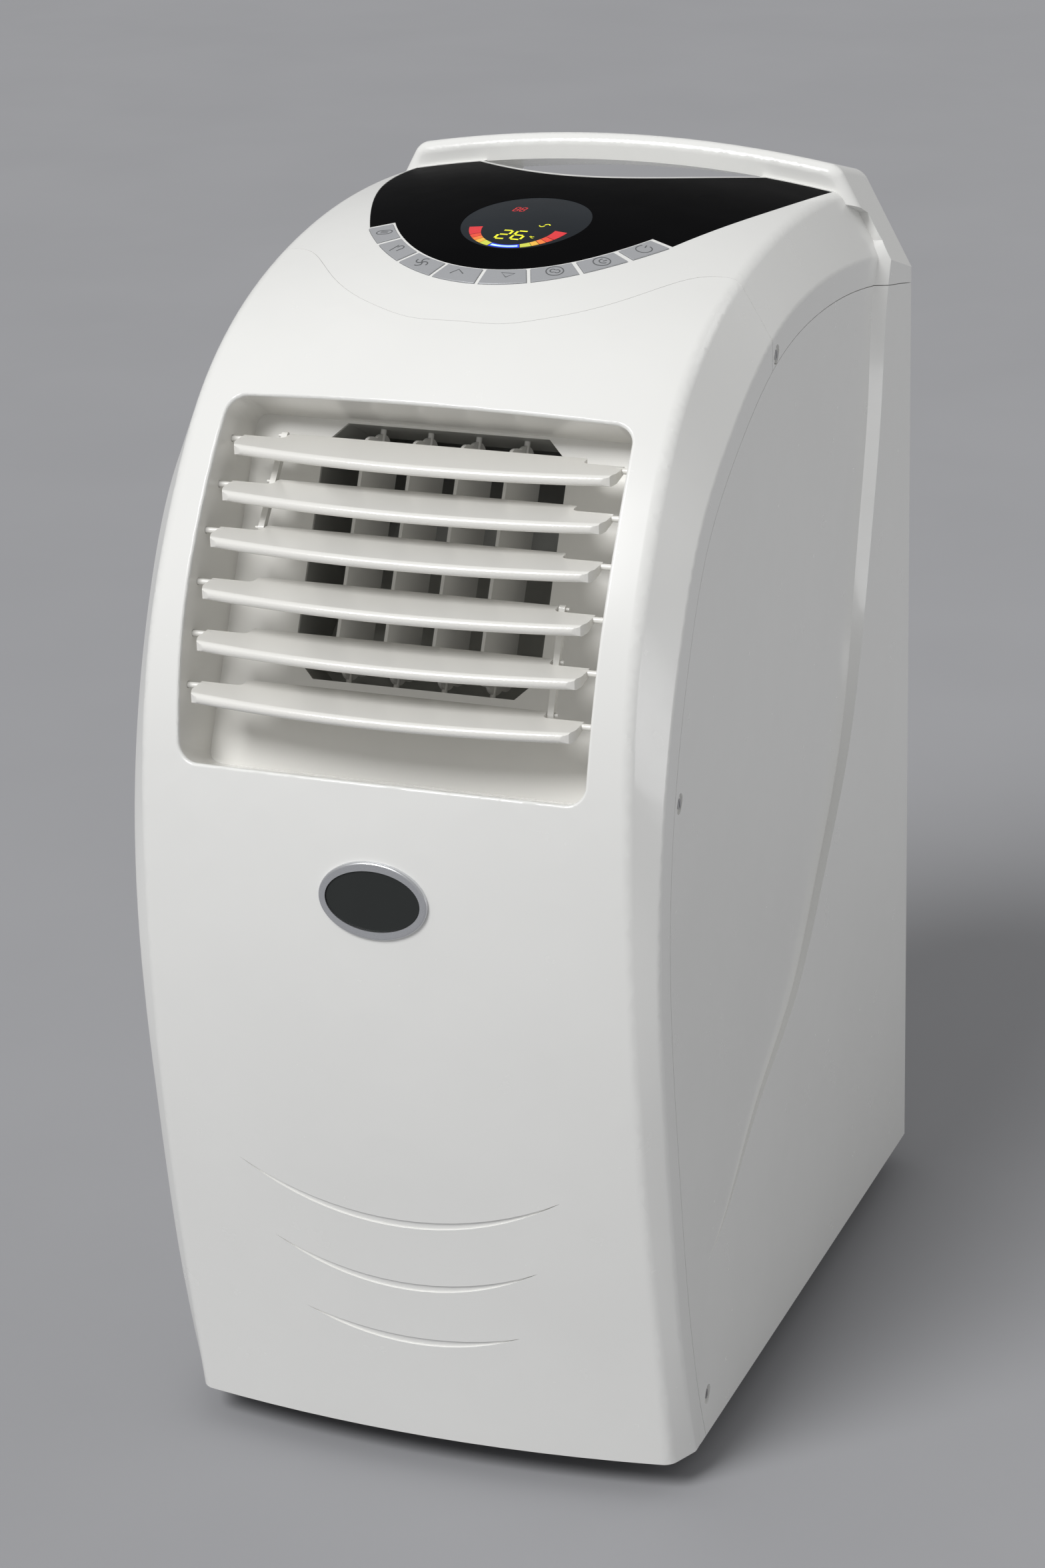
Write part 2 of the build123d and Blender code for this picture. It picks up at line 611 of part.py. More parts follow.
def louvre_frame():
    """Drafted tub behind the front opening: flange, walls with the blade bearings, back wall with the mouth."""
    room = body_form(WALL)
    tub = opening_form(-60, TUB_DEPTH, TUB_WALL) & room
    flange = (opening_form(-60, TUB_DEPTH - 6, 11) & room) - body_form(WALL + 2.5)
    frame = (tub + flange) - opening_form(-60, TUB_DEPTH - TUB_WALL)
    frame -= mouth_block(TUB_DEPTH - 10, TUB_DEPTH + 10)
    for pin in cross_pins(UPPER_PIVOTS + LOWER_PIVOTS, BLADE_HALF_LENGTH + 13, PIVOT_RADIUS + FIT):
        frame -= pin
    return frame


def teardrop(x, t, n, ahead):
    """Blade section at x: thin behind the pivot, a thick rounded lip ahead of it."""
    pitch = radians(BLADE_PITCH)
    pivot = in_louvre(x, t, n).position
    plane = Plane(origin=pivot, x_dir=(0, cos(pitch), sin(pitch)), z_dir=(1, 0, 0))
    lip = Pos(BLADE_LIP - ahead, -1.2) * Circle(BLADE_LIP)
    tail = Pos(BLADE_BEHIND - BLADE_TAIL, 0) * Circle(BLADE_TAIL)
    return plane * make_hull(lip.edges() + tail.edges())


def blade_plan():
    """Plan of a blade: rounded front corners, and narrow ends that step back to the broad middle."""
    half, front = BLADE_HALF_LENGTH, BLADE_REACH[0]
    tail, far = BLADE_BEHIND + 0.5, BLADE_REACH[1] + 8
    side = [(BLADE_STEP, tail), (BLADE_STEP, BLADE_NARROW), (half, BLADE_NARROW), (half, BLADE_ROUND - front)]
    lead = [(half - BLADE_ROUND, -front - 1.6), (half - BLADE_ROUND, -far)]
    points = side + [(half - 2.4, -front + 1.2)] + lead
    outline = Polyline(points + [(-x, y) for x, y in reversed(points)], close=True)
    plan = make_face(outline)
    steps = [v for v in plan.vertices() if abs(abs(v.X) - BLADE_STEP) < 0.01]
    return fillet(steps, 4)


def blade(t, n, link_x):
    """Bowed louvre blade: stepped ends, end axles, and a cross pin beside the step for the link."""
    ends, middle = BLADE_REACH
    sections = [teardrop(x, t, n, ahead) for x, ahead in (
        (-BLADE_HALF_LENGTH, ends), (0, middle), (BLADE_HALF_LENGTH, ends))]
    body = loft(sections)
    pitch = radians(BLADE_PITCH)
    pivot = in_louvre(0, t, n).position
    flat = Plane(origin=pivot, x_dir=(1, 0, 0), z_dir=(0, -sin(pitch), cos(pitch)))
    body &= extrude(flat * blade_plan(), amount=10, both=True)
    body += flat.location * Pos(link_x, LINK_PIN_BEHIND, 0) * Rot(0, 90, 0) * Cylinder(LINK_PIN_RADIUS, 9)
    for side in (-1, 1):
        axle = Cylinder(PIVOT_RADIUS, 13, align=(Align.CENTER, Align.CENTER, Align.MIN))
        body += in_louvre(side * (BLADE_HALF_LENGTH - 4), t, n) * Rot(0, side * 90, 0) * axle
    return body


def link_pins(pivots):
    """Pin positions (t, n) of a blade link, behind each pivot along the blade."""
    lean = radians(LOUVRE_TILT + BLADE_PITCH)
    return [(t + LINK_PIN_BEHIND * sin(lean), n + LINK_PIN_BEHIND * cos(lean)) for t, n in pivots]


def blade_link(pivots, x):
    """Flat bar joining the blades of one bank, with a hole over each cross pin."""
    pins = [in_louvre(x, t, n).position for t, n in link_pins(pivots)]
    top, bottom = pins[0], pins[-1]
    run = top - bottom
    plane = Plane(origin=(top + bottom) / 2 - Vector(LINK_THICKNESS / 2, 0, 0), x_dir=run, z_dir=(1, 0, 0))
    bar = extrude(plane * SlotCenterToCenter(run.length, LINK_WIDTH), amount=LINK_THICKNESS)
    for pin in pins:
        bar -= Plane(origin=pin, z_dir=(1, 0, 0)) * Cylinder(LINK_PIN_RADIUS + FIT, 20)
    return bar


def vane_plane(x):
    """Vane's own plane: origin on its pivot axis at t = 0, its x towards the rear edge, its y up the axis."""
    turn = radians(VANE_REST)
    rear = in_louvre(x + sin(turn), 0, VANE_DEPTH + cos(turn)).position
    base = in_louvre(x, 0, VANE_DEPTH).position
    up = in_louvre(x, 1, VANE_DEPTH).position - base
    across = rear - base
    return Plane(origin=base, x_dir=across, z_dir=across.cross(up))


def vane(x):
    """Upright vane: lobed ends round the axle, and a notch with a pin for the vane link."""
    low, high = VANE_SPAN
    outline = Pos(0, (low + high) / 2) * RectangleRounded(VANE_CHORD, high - low - 8, 8)
    for end, inward in ((low, 1), (high, -1)):
        outline += Pos(0, end + inward * VANE_LOBE) * Circle(VANE_LOBE)
    plane = vane_plane(x)
    body = extrude(plane * outline, amount=VANE_THICKNESS / 2, both=True)
    body -= plane.location * Pos(2 - VANE_CHORD / 2, VANE_LINK_T + 4, 0) * Box(20, VANE_LINK_HEIGHT + 2, 10)
    pin = Cylinder(LINK_PIN_RADIUS, VANE_LINK_HEIGHT + 6)
    body += plane.location * Pos(-VANE_PIN_AHEAD, VANE_LINK_T + 4, 0) * Rot(90, 0, 0) * pin
    axle = Cylinder(PIVOT_RADIUS, high - low + 11)
    return body + plane.location * Pos(0, (low + high) / 2, 0) * Rot(90, 0, 0) * (
        axle - Cylinder(PIVOT_RADIUS + 1, high - low - 12))


def vane_link():
    """Flat bar that couples the four vanes through their front pins."""
    turn = radians(VANE_REST)
    x_shift = -VANE_PIN_AHEAD * sin(turn)
    depth = VANE_DEPTH - VANE_PIN_AHEAD * cos(turn)
    length = VANE_X[-1] - VANE_X[0]
    centre = in_louvre(x_shift, VANE_LINK_T + 4, depth)
    slot = SlotCenterToCenter(length, LINK_WIDTH)
    bar = centre * Rot(90, 0, 0) * extrude(slot, amount=VANE_LINK_HEIGHT / 2, both=True)
    for x in VANE_X:
        hole = Cylinder(LINK_PIN_RADIUS + FIT, 20)
        bar -= in_louvre(x + x_shift, VANE_LINK_T + 4, depth) * Rot(90, 0, 0) * hole
    return bar


def duct_core(grow=0.0):
    """Air duct from the mouth back and down to the cold blower's outlet, grown by grow."""
    width, height, bevel = DUCT_MOUTH
    straight = mouth_block(TUB_DEPTH, DUCT_DEPTH, grow)
    tilt = radians(LOUVRE_TILT)
    mouth = Plane(origin=in_louvre(0, DUCT_CENTRE_T, DUCT_DEPTH).position, x_dir=(1, 0, 0),
                  z_dir=(0, -cos(tilt), sin(tilt)))
    bend = Plane(origin=(0, 345, 696), x_dir=(1, 0, 0), z_dir=(0, -1, 1))
    outlet = Plane(origin=(0, COLD_Y[0] + COLD_WIDTH / 2, COLD_OUTLET_Z), x_dir=(1, 0, 0), z_dir=(0, 0, 1))
    slices = [mouth * bevelled(width, height, bevel, grow), bend * bevelled(160, 84, 12, grow),
              outlet * bevelled(156, COLD_WIDTH - 6, 8, grow)]
    return straight + loft(slices, ruled=True)


def air_duct():
    """Thin-walled duct with a flange on the louvre tub and the bearings of the vanes."""
    duct = duct_core(DUCT_WALL) + mouth_block(TUB_DEPTH, TUB_DEPTH + 2, 12)
    tilt = radians(LOUVRE_TILT)
    through = mouth_block(TUB_DEPTH - 5, TUB_DEPTH + 5)
    below = Pos(0, COLD_Y[0] + COLD_WIDTH / 2, COLD_OUTLET_Z - 5) * Box(156, COLD_WIDTH - 6, 12)
    duct -= duct_core() + through + below
    for pin in upright_pins(VANE_SPAN[0] - 10, VANE_SPAN[1] + 10, PIVOT_RADIUS + FIT):
        duct -= pin
    return duct


# ---------------------------------------------------------------- upright helpers
def facing(x, y, z):
    """Upright plane at a point, its x to the right and its y up, looking towards the front."""
    return Plane(origin=(x, y, z), x_dir=(1, 0, 0), z_dir=(0, -1, 0))


def bar_y(x, z, start, end, radius):
    """Round bar along Y from start to end."""
    return extrude(facing(x, start, z) * Circle(radius), amount=start - end)


def slab_y(x, z, start, end, width, height, corner=0.0):
    """Upright plate from y start to y end, with rounded corners."""
    face = RectangleRounded(width, height, corner) if corner else Rectangle(width, height)
    return extrude(facing(x, start, z) * face, amount=start - end)


# ---------------------------------------------------------------- rear
def rear_panel():
    """Flat back: filter window with its seat, condenser grille, hose outlet, drain and cord holes."""
    panel = body_form(WALL + SEAM) & Pos(0, DEPTH - REAR_THICKNESS, PAN_FLOOR) * Box(
        500, 60, REAR_PANEL_TOP - PAN_FLOOR, align=(Align.CENTER, Align.MIN, Align.MIN))
    inner = DEPTH - REAR_THICKNESS
    width, height = FILTER_SIZE
    panel += slab_y(0, FILTER_Z, inner - 7, inner, width + 8, height + 8, 10)
    panel -= slab_y(0, FILTER_Z, inner - 4.5, DEPTH + 1, width + 1, height + 1, 8)
    panel -= slab_y(0, FILTER_Z, inner - 8, DEPTH + 1, width - 20, height - 20, 4)
    rows = range(int((GRILLE_TOP - GRILLE_BOTTOM) / GRILLE_PITCH) + 1)
    for row in rows:
        for x in (-76, 76):
            panel -= slab_y(x, GRILLE_BOTTOM + row * GRILLE_PITCH, inner - 1, DEPTH + 1, 140, 6)
    x, z = REAR_OUTLET
    panel -= bar_y(x, z, inner - 1, DEPTH + 1, HOSE_RADIUS + COLLAR_WALL + FIT)
    panel -= bar_y(*DRAIN_SPOT, inner - 1, DEPTH + 1, DRAIN_RADIUS + FIT)
    return panel - bar_y(*CORD_SPOT, inner - 1, DEPTH + 1, CORD_HOLE)


def filter_cassette():
    """Pull-out filter frame with sloping slats and a grip."""
    width, height = FILTER_SIZE
    front = DEPTH - REAR_THICKNESS - 4.5 + FIT
    frame = slab_y(0, FILTER_Z, front, DEPTH + 1, width, height, 7.5)
    frame -= slab_y(0, FILTER_Z, front - 1, DEPTH + 2, width - 22, height - 22, 3)
    reach = height - 22
    count = 13
    for index in range(count):
        z = FILTER_Z - reach / 2 + reach * (index + 0.5) / count
        slat = Pos(0, front + 4.6, z) * Rot(-35, 0, 0) * Box(width - 21, 1.6, 8)
        frame += slat
    for x in (-65, 0, 65):
        frame += Pos(x, front + 4, FILTER_Z) * Box(2.4, 3, reach + 1)
    grip = slab_y(0, FILTER_Z + height / 2 - 5.5, DEPTH - 2, DEPTH + 2, 60, 6, 2.5)
    return frame - grip


def filter_mesh():
    """Dust mesh stretched across the inside of the cassette."""
    width, height = FILTER_SIZE
    front = DEPTH - REAR_THICKNESS - 4.5 + FIT
    return slab_y(0, FILTER_Z, front - 1, front, width - 21, height - 21, 4)


def exhaust_collar():
    """Hose collar: tube with a flange on the back and three bayonet lugs outside."""
    x, z = REAR_OUTLET
    outer_radius = HOSE_RADIUS + COLLAR_WALL
    collar = bar_y(x, z, DUCT_END, DEPTH + COLLAR_STANDOFF, outer_radius)
    collar += bar_y(x, z, DEPTH, DEPTH + 3, outer_radius + 9)
    collar -= bar_y(x, z, DUCT_END - 1, DEPTH + COLLAR_STANDOFF + 1, HOSE_RADIUS)
    for turn in range(3):
        lug = facing(x, DEPTH, z).location * Rot(0, 180, 120 * turn) * Pos(outer_radius, 0, 8) * Box(4, 12, 3)
        collar += lug
    return collar


def drain_plug():
    """Rubber drain plug with a grip tab."""
    x, z = DRAIN_SPOT
    plug = bar_y(x, z, DEPTH - 16, DEPTH, DRAIN_RADIUS) + bar_y(x, z, DEPTH, DEPTH + 2.5, DRAIN_RADIUS + 3)
    return plug + Pos(x, DEPTH + 5, z) * Box(3, 7, 12)


def cord_gland():
    """Ribbed gland where the supply cord leaves."""
    x, z = CORD_SPOT
    gland = bar_y(x, z, DEPTH - 8, DEPTH, CORD_HOLE) + bar_y(x, z, DEPTH, DEPTH + 3, CORD_HOLE + 3)
    gland += bar_y(x, z, DEPTH + 3, DEPTH + 9, CORD_HOLE - 1)
    return gland - bar_y(x, z, DEPTH - 9, DEPTH + 10, 3.6)


# ---------------------------------------------------------------- base and castors
def castor_spots():
    """Castor positions (x, y), front pair first."""
    return [(side * x, y) for x, y in CASTORS for side in (-1, 1)]


def base_pan():
    """Base pan: floor, rim along the case and a domed well over each castor."""
    room = Pos(0, DEPTH - REAR_THICKNESS, PAN_FLOOR - PAN_WALL)
    shell = body_form(WALL) & room * Box(500, 700, 25, align=(Align.CENTER, Align.MAX, Align.MIN))
    hollow = body_form(WALL + 2.5) & Pos(0, 0, PAN_FLOOR) * Box(
        500, 1300, 60, align=(Align.CENTER, Align.CENTER, Align.MIN))
    lip = body_form(WALL) & Pos(0, DEPTH, PAN_FLOOR - PAN_WALL) * Box(
        500, 30, PAN_WALL, align=(Align.CENTER, Align.CENTER, Align.MIN))
    pan = (shell - hollow) + lip
    up = (Align.CENTER, Align.CENTER, Align.MIN)
    for x, y in castor_spots():
        pan += Pos(x, y, PAN_FLOOR - PAN_WALL) * Cylinder(WELL_RADIUS + 2.5, WELL_TOP - PAN_FLOOR + PAN_WALL,
                                                          align=up)
        pan -= Pos(x, y, -5) * Cylinder(WELL_RADIUS, WELL_TOP - 3 + 5, align=up)
        pan -= Pos(x, y, 0) * Cylinder(STEM_RADIUS + FIT, 60, align=up)
    return pan


def castor_fork(x, y):
    """Swivel fork: stem, top plate, two cheeks and the axle."""
    up = (Align.CENTER, Align.CENTER, Align.MIN)
    fork = Pos(x, y, 22) * Cylinder(STEM_RADIUS, WELL_TOP - 22.2, align=up)
    fork += Pos(x, y, 19) * Cylinder(17, 3, align=up)
    head = Pos(0, 20) * Rectangle(24, 2)
    boss = Pos(CASTOR_TRAIL, AXLE_Z) * Circle(7)
    cheek = make_hull(head.edges() + boss.edges())
    for side in (-1, 1):
        plane = Plane(origin=(x + side * 11, y, 0), x_dir=(0, 1, 0), z_dir=(1, 0, 0))
        fork += extrude(plane * cheek, amount=1.2, both=True)
    return fork + Pos(x, y + CASTOR_TRAIL, AXLE_Z) * Rot(0, 90, 0) * Cylinder(AXLE_RADIUS, 24)


def castor_wheel(x, y):
    """Wheel with a bevelled tread and dished sides."""
    half = WHEEL_WIDTH / 2
    bore = AXLE_RADIUS + FIT
    profile = Polyline((bore, -half), (bore + 3.5, -half), (bore + 5, -half + 3), (15, -half + 3),
                       (16.5, -half), (WHEEL_RADIUS - 3, -half), (WHEEL_RADIUS, -half + 4),
                       (WHEEL_RADIUS, half - 4), (WHEEL_RADIUS - 3, half), (16.5, half), (15, half - 3),
                       (bore + 5, half - 3), (bore + 3.5, half), (bore, half), (bore, -half))
    wheel = revolve(Plane.XZ * make_face(profile), Axis.Z)
    return Pos(x, y + CASTOR_TRAIL, AXLE_Z) * Rot(0, 90, 0) * wheel


# ---------------------------------------------------------------- inner machine
def volute(radius, rise, grow):
    """Scroll outline round a wheel at the origin: spiral from the tongue to an upright outlet."""
    steps = 6
    points = []
    for step in range(steps + 1):
        angle = radians(75 - 255 * step / steps)
        reach = radius * (1.08 + 0.42 * step / steps) + grow
        points.append((reach * cos(angle), reach * sin(angle)))
    tongue = points[0]
    throat = points[-1]
    side = 0.28 * radius + grow
    outline = Spline(*points) + Polyline(throat, (throat[0], rise), (side, rise), tongue)
    return make_face(outline)


def blower_housing(centre, radius, y_range, outlet_z, foot_z):
    """Scroll housing open at its outlet, with an inlet ring at the rear and feet below."""
    x, z = centre
    start, end = y_range
    wall = DUCT_WALL
    housing = extrude(facing(x, start - wall, z) * volute(radius, outlet_z - z, wall),
                      amount=start - end - 2 * wall)
    housing -= extrude(facing(x, start, z) * volute(radius, outlet_z - z + 5, 0), amount=start - end)
    housing -= bar_y(x, z, end - 1, end + wall + 1, 0.78 * radius)
    housing -= bar_y(x, z, start - wall - 1, start + 1, 6)
    for foot_x in (x - 0.9 * radius, x + 0.5 * radius):
        leg = Pos(foot_x, (start + end) / 2, foot_z) * Box(
            14, end - start, 0.75 * radius, align=(Align.CENTER, Align.CENTER, Align.MIN))
        housing += leg - extrude(facing(x, start - 1, z) * volute(radius, 1, 0.5), amount=start - end - 2)
    return housing


def blower_wheel(centre, radius, y_range):
    """Forward-curved fan wheel: back plate with a hub, blades and a front ring."""
    x, z = centre
    start, end = y_range[0] + 6, y_range[1] - 5
    inner = 0.86 * radius
    wheel = bar_y(x, z, start, start + 2, radius) + bar_y(x, z, start, start + 18, 11)
    wheel += bar_y(x, z, end - 3, end, radius) - bar_y(x, z, end - 4, end + 1, inner + 1)
    outline = ThreePointArc((inner, 0), (0.94 * radius, 1.5), (radius - 0.5, 6))
    outline += Line((radius - 0.5, 6), (radius - 1.6, 7))
    outline += ThreePointArc((radius - 1.6, 7), (0.93 * radius, 2.8), (inner, 1.3))
    outline += Line((inner, 1.3), (inner, 0))
    fan = facing(x, start + 1, z)
    count = 20
    vanes = []
    for index in range(count):
        turned = fan.location * Rot(0, 0, 360 * index / count)
        vanes.append(extrude(turned * make_face(outline), amount=start - end + 2))
    wheel += vanes
    return wheel - bar_y(x, z, start - 1, start + 20, SHAFT_RADIUS + FIT)


def blower_motor(centre, radius, face_y):
    """Motor can against the housing's front wall, with its shaft into the hub."""
    x, z = centre
    length = 0.7 * radius
    can = fillet(bar_y(x, z, face_y - length, face_y - 3, 0.4 * radius).edges(), 4)
    can += bar_y(x, z, face_y - 5, face_y, 0.48 * radius)
    return can + bar_y(x, z, face_y - 4, face_y + DUCT_WALL + 22, SHAFT_RADIUS)


def exhaust_duct():
    """Duct from the hot blower's outlet up and back to the hose collar."""
    x, z = REAR_OUTLET
    low = Plane(origin=(x, sum(HOT_Y) / 2, HOT_OUTLET_Z), x_dir=(1, 0, 0), z_dir=(0, 0, 1))
    bend = Plane(origin=(x, 468, 296), x_dir=(1, 0, 0), z_dir=(0, 1, 1))
    back = Plane(origin=(x, DUCT_END, z), x_dir=(1, 0, 0), z_dir=(0, 1, 0))
    shapes = []
    for grow in (DUCT_WALL, 0):
        slices = [low * bevelled(128, HOT_Y[1] - HOT_Y[0] - 6, 8, grow), bend * bevelled(128, 96, 24, grow),
                  back * bevelled(130, 130, 38, grow)]
        shapes.append(loft(slices, ruled=True))
    return shapes[0] - shapes[1]


def coil(y_range, z_range):
    """Finned heat exchanger: fin pack, end plates and the return bends of its tubes."""
    start, end = y_range
    low, high = z_range
    middle = (start + end) / 2
    pack = slab_y(0, (low + high) / 2, start + 2, end - 2, 2 * COIL_HALF_WIDTH - 6, high - low - 4)
    for x in range(-148, 150, 8):
        pack -= slab_y(x, (low + high) / 2, start + 1, start + 5, 4, high - low - 20)
    for side in (-1, 1):
        pack += slab_y(side * (COIL_HALF_WIDTH - 2), (low + high) / 2, start, end, 3, high - low)
        z = low + 22
        while z < high - 40:
            bend = facing(side * (COIL_HALF_WIDTH - 1), middle, z + 12) * (Circle(15) - Circle(9))
            pack += extrude(bend, amount=3, both=True)
            z += 48
    return pack


def mid_deck():
    """Deck and drain tray of the cold side on two side walls."""
    up = (Align.CENTER, Align.MIN, Align.MIN)
    deck = Pos(0, 330, DECK_HEIGHT - 6) * Box(2 * DECK_HALF_WIDTH, 245, 6, align=up)
    for side in (-1, 1):
        wall = Pos(side * (DECK_HALF_WIDTH - 1.5), 330, PAN_FLOOR) * Box(3, 135, DECK_HEIGHT - PAN_FLOOR, align=up)
        wall -= Pos(side * DECK_HALF_WIDTH, 360, 60) * Box(20, 75, 290, align=up)
        deck += wall
    tray = Pos(0, 492, DECK_HEIGHT) * Box(2 * COIL_HALF_WIDTH + 8, 46, 12, align=up)
    tray -= Pos(0, 494.5, DECK_HEIGHT - 3) * Box(2 * COIL_HALF_WIDTH + 3, 41, 20, align=up)
    deck = deck + tray
    return deck - Pos(SUCTION_X, 470, DECK_HEIGHT) * Cylinder(6, 40)


def compressor():
    """Domed compressor on a foot plate with three rubber grommets."""
    x, y = COMPRESSOR_SPOT
    up = (Align.CENTER, Align.CENTER, Align.MIN)
    shell = Pos(x, y, 31) * Cylinder(58, 217, align=up)
    shell = fillet(shell.edges().group_by(Axis.Z)[-1], 24)
    shell = chamfer(shell.edges().group_by(Axis.Z)[0], 10)
    shell += Pos(x, y, 136) * Cylinder(60, 8)
    feet = [Pos(x, y, 0) * Rot(0, 0, 60 + 120 * turn) * Pos(70, 0, 0) for turn in range(3)]
    rims = Circle(52).edges()
    for foot in feet:
        rims += (Pos(foot.position.X - x, foot.position.Y - y) * Circle(11)).edges()
    shell += extrude(Pos(x, y, 29) * make_hull(rims), amount=4)
    for foot in feet:
        shell += foot * Pos(0, 0, PAN_FLOOR) * Cylinder(8, 25, align=up)
    return shell + Pos(x, y, 240) * Cylinder(7, 24)


def bent_pipe(points, bend, radius):
    """Pipe along straight runs joined by bends."""
    path = FilletPolyline(*points, radius=bend)
    return sweep(Plane(origin=path @ 0, z_dir=path % 0) * Circle(radius), path)


def refrigerant_pipes():
    """Accumulator beside the compressor, the discharge line and the suction line."""
    x, y = COMPRESSOR_SPOT
    vessel_x = x + 92
    vessel = chamfer((Pos(vessel_x, y, 130) * Cylinder(25, 140)).edges(), 12)
    vessel += Pos(x + 64, y, 130) * Box(8, 20, 16)
    discharge = bent_pipe([(x, y, 252), (x, y, 292), (120, y, 292), (120, 520, 292), (120, 520, HOT_COIL_Z[1])],
                          16, 4)
    suction = bent_pipe([(vessel_x, y, 198), (vessel_x, y, 330), (SUCTION_X, y, 330), (SUCTION_X, 470, 330),
                         (SUCTION_X, 470, 442), (SUCTION_X, COLD_COIL_Y[0] + 2, 442)], 14, 4)
    return Compound(children=[vessel, discharge, suction])


def control_board():
    """Board under the top cover with its relays, capacitors and transformer."""
    up = (Align.CENTER, Align.CENTER, Align.MAX)
    board = Pos(0, sum(BOARD_POSTS_Y) / 2, BOARD_HEIGHT) * Box(136, 110, 1.6, align=up)
    for x, y, wide, deep, tall in ((-45, 320, 28, 22, 16), (-8, 330, 15, 18, 11), (12, 330, 15, 18, 11),
                                   (45, 285, 20, 32, 12)):
        board += Pos(x, y, BOARD_HEIGHT - 1.6) * Box(wide, deep, tall, align=up)
    for x in (-40, -18):
        board += Pos(x, 278, BOARD_HEIGHT - 1.6) * Cylinder(7, 15, align=up)
    return board


# ---------------------------------------------------------------- assembly
def parts():
    """Every sub-part by node name, in the modelling frame."""
    outer = case_outer()
    skin = outer - case_cavity()
    flank = side_panel(skin)
    nodes = {
        "front_panel": front_panel(skin),
        "top_cover": top_cover(skin, outer),
        "side_panel_left": flank.mirror(Plane.YZ),
        "side_panel_right": flank,
        "shell_screws": shell_screws(),
        "badge_ring": badge_ring(),
        "badge_oval": badge_oval(),
        "control_panel": control_panel(),
        "display_window": display_window(),
        "louvre_frame": louvre_frame(),
        "air_duct": air_duct(),
        "blade_link_upper": blade_link(UPPER_PIVOTS, LINK_X[0]),
        "blade_link_lower": blade_link(LOWER_PIVOTS, LINK_X[1]),
        "vane_link": vane_link(),
        "rear_panel": rear_panel(),
        "filter_cassette": filter_cassette(),
        "filter_mesh": filter_mesh(),
        "exhaust_collar": exhaust_collar(),
        "drain_plug": drain_plug(),
        "cord_gland": cord_gland(),
        "base_pan": base_pan(),
        "mid_deck": mid_deck(),
        "evaporator_coil": coil(COLD_COIL_Y, (DECK_HEIGHT, 672)),
        "condenser_coil": coil(HOT_COIL_Y, HOT_COIL_Z),
        "cold_blower_housing": blower_housing(COLD_AXIS, COLD_RADIUS, COLD_Y, COLD_OUTLET_Z, DECK_HEIGHT),
        "cold_blower_wheel": blower_wheel(COLD_AXIS, COLD_RADIUS, COLD_Y),
        "cold_blower_motor": blower_motor(COLD_AXIS, COLD_RADIUS, COLD_Y[0] - DUCT_WALL),
        "hot_blower_housing": blower_housing(HOT_AXIS, HOT_RADIUS, HOT_Y, HOT_OUTLET_Z, PAN_FLOOR),
        "hot_blower_wheel": blower_wheel(HOT_AXIS, HOT_RADIUS, HOT_Y),
        "hot_blower_motor": blower_motor(HOT_AXIS, HOT_RADIUS, HOT_Y[0] - DUCT_WALL),
        "exhaust_duct": exhaust_duct(),
        "compressor": compressor(),
        "refrigerant_pipes": refrigerant_pipes(),
        "control_board": control_board(),
    }
    for number, (index, side) in enumerate(button_places(), start=1):
        nodes[f"button_{number}"] = button(index, side)
    banks = [(pivot, LINK_X[0]) for pivot in UPPER_PIVOTS] + [(pivot, LINK_X[1]) for pivot in LOWER_PIVOTS]
    for number, (pivot, link_x) in enumerate(banks, start=1):
        nodes[f"blade_{number}"] = blade(*pivot, link_x)
    for number, x in enumerate(VANE_X, start=1):
        nodes[f"vane_{number}"] = vane(x)
    for place, spot in zip(("front_left", "front_right", "rear_left", "rear_right"), castor_spots()):
        nodes[f"castor_fork_{place}"] = castor_fork(*spot)
        nodes[f"castor_wheel_{place}"] = castor_wheel(*spot)
    return nodes


def main():
    """Write one STEP file for each sub-part."""
    os.makedirs("parts", exist_ok=True)
    for name, shape in parts().items():
        export_step(PLACED * shape, f"parts/{name}.step")


if __name__ == "__main__":
    main()
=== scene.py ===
"""Portable air conditioner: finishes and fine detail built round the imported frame."""

from __future__ import annotations

import json
import logging
import math
from dataclasses import dataclass, field
from enum import Enum
from typing import Callable, Iterable, Sequence

import bmesh
import bpy
from mathutils import Matrix, Vector
from mathutils.bvhtree import BVHTree

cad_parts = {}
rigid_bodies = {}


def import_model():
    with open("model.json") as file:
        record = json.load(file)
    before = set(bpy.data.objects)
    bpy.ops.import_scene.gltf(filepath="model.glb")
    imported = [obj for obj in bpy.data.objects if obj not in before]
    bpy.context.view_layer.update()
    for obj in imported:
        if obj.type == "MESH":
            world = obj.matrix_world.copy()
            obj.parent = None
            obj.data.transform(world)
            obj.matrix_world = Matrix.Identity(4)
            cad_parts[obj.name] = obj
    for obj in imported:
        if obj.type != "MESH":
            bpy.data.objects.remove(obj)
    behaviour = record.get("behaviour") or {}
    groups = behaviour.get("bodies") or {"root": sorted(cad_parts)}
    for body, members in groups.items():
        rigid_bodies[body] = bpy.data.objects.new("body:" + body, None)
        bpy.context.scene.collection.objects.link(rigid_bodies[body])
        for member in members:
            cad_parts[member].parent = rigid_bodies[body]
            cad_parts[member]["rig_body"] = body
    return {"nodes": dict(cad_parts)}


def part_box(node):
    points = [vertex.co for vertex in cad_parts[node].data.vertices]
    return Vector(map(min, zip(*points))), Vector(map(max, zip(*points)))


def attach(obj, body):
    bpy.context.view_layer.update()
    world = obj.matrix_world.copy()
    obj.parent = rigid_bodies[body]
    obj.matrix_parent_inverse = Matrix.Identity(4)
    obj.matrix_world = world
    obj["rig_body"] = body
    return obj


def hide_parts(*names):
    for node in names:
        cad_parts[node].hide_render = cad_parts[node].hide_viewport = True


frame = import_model()

LOG = logging.getLogger("air_conditioner")
Colour = tuple[float, float, float]
Point = tuple[float, float]


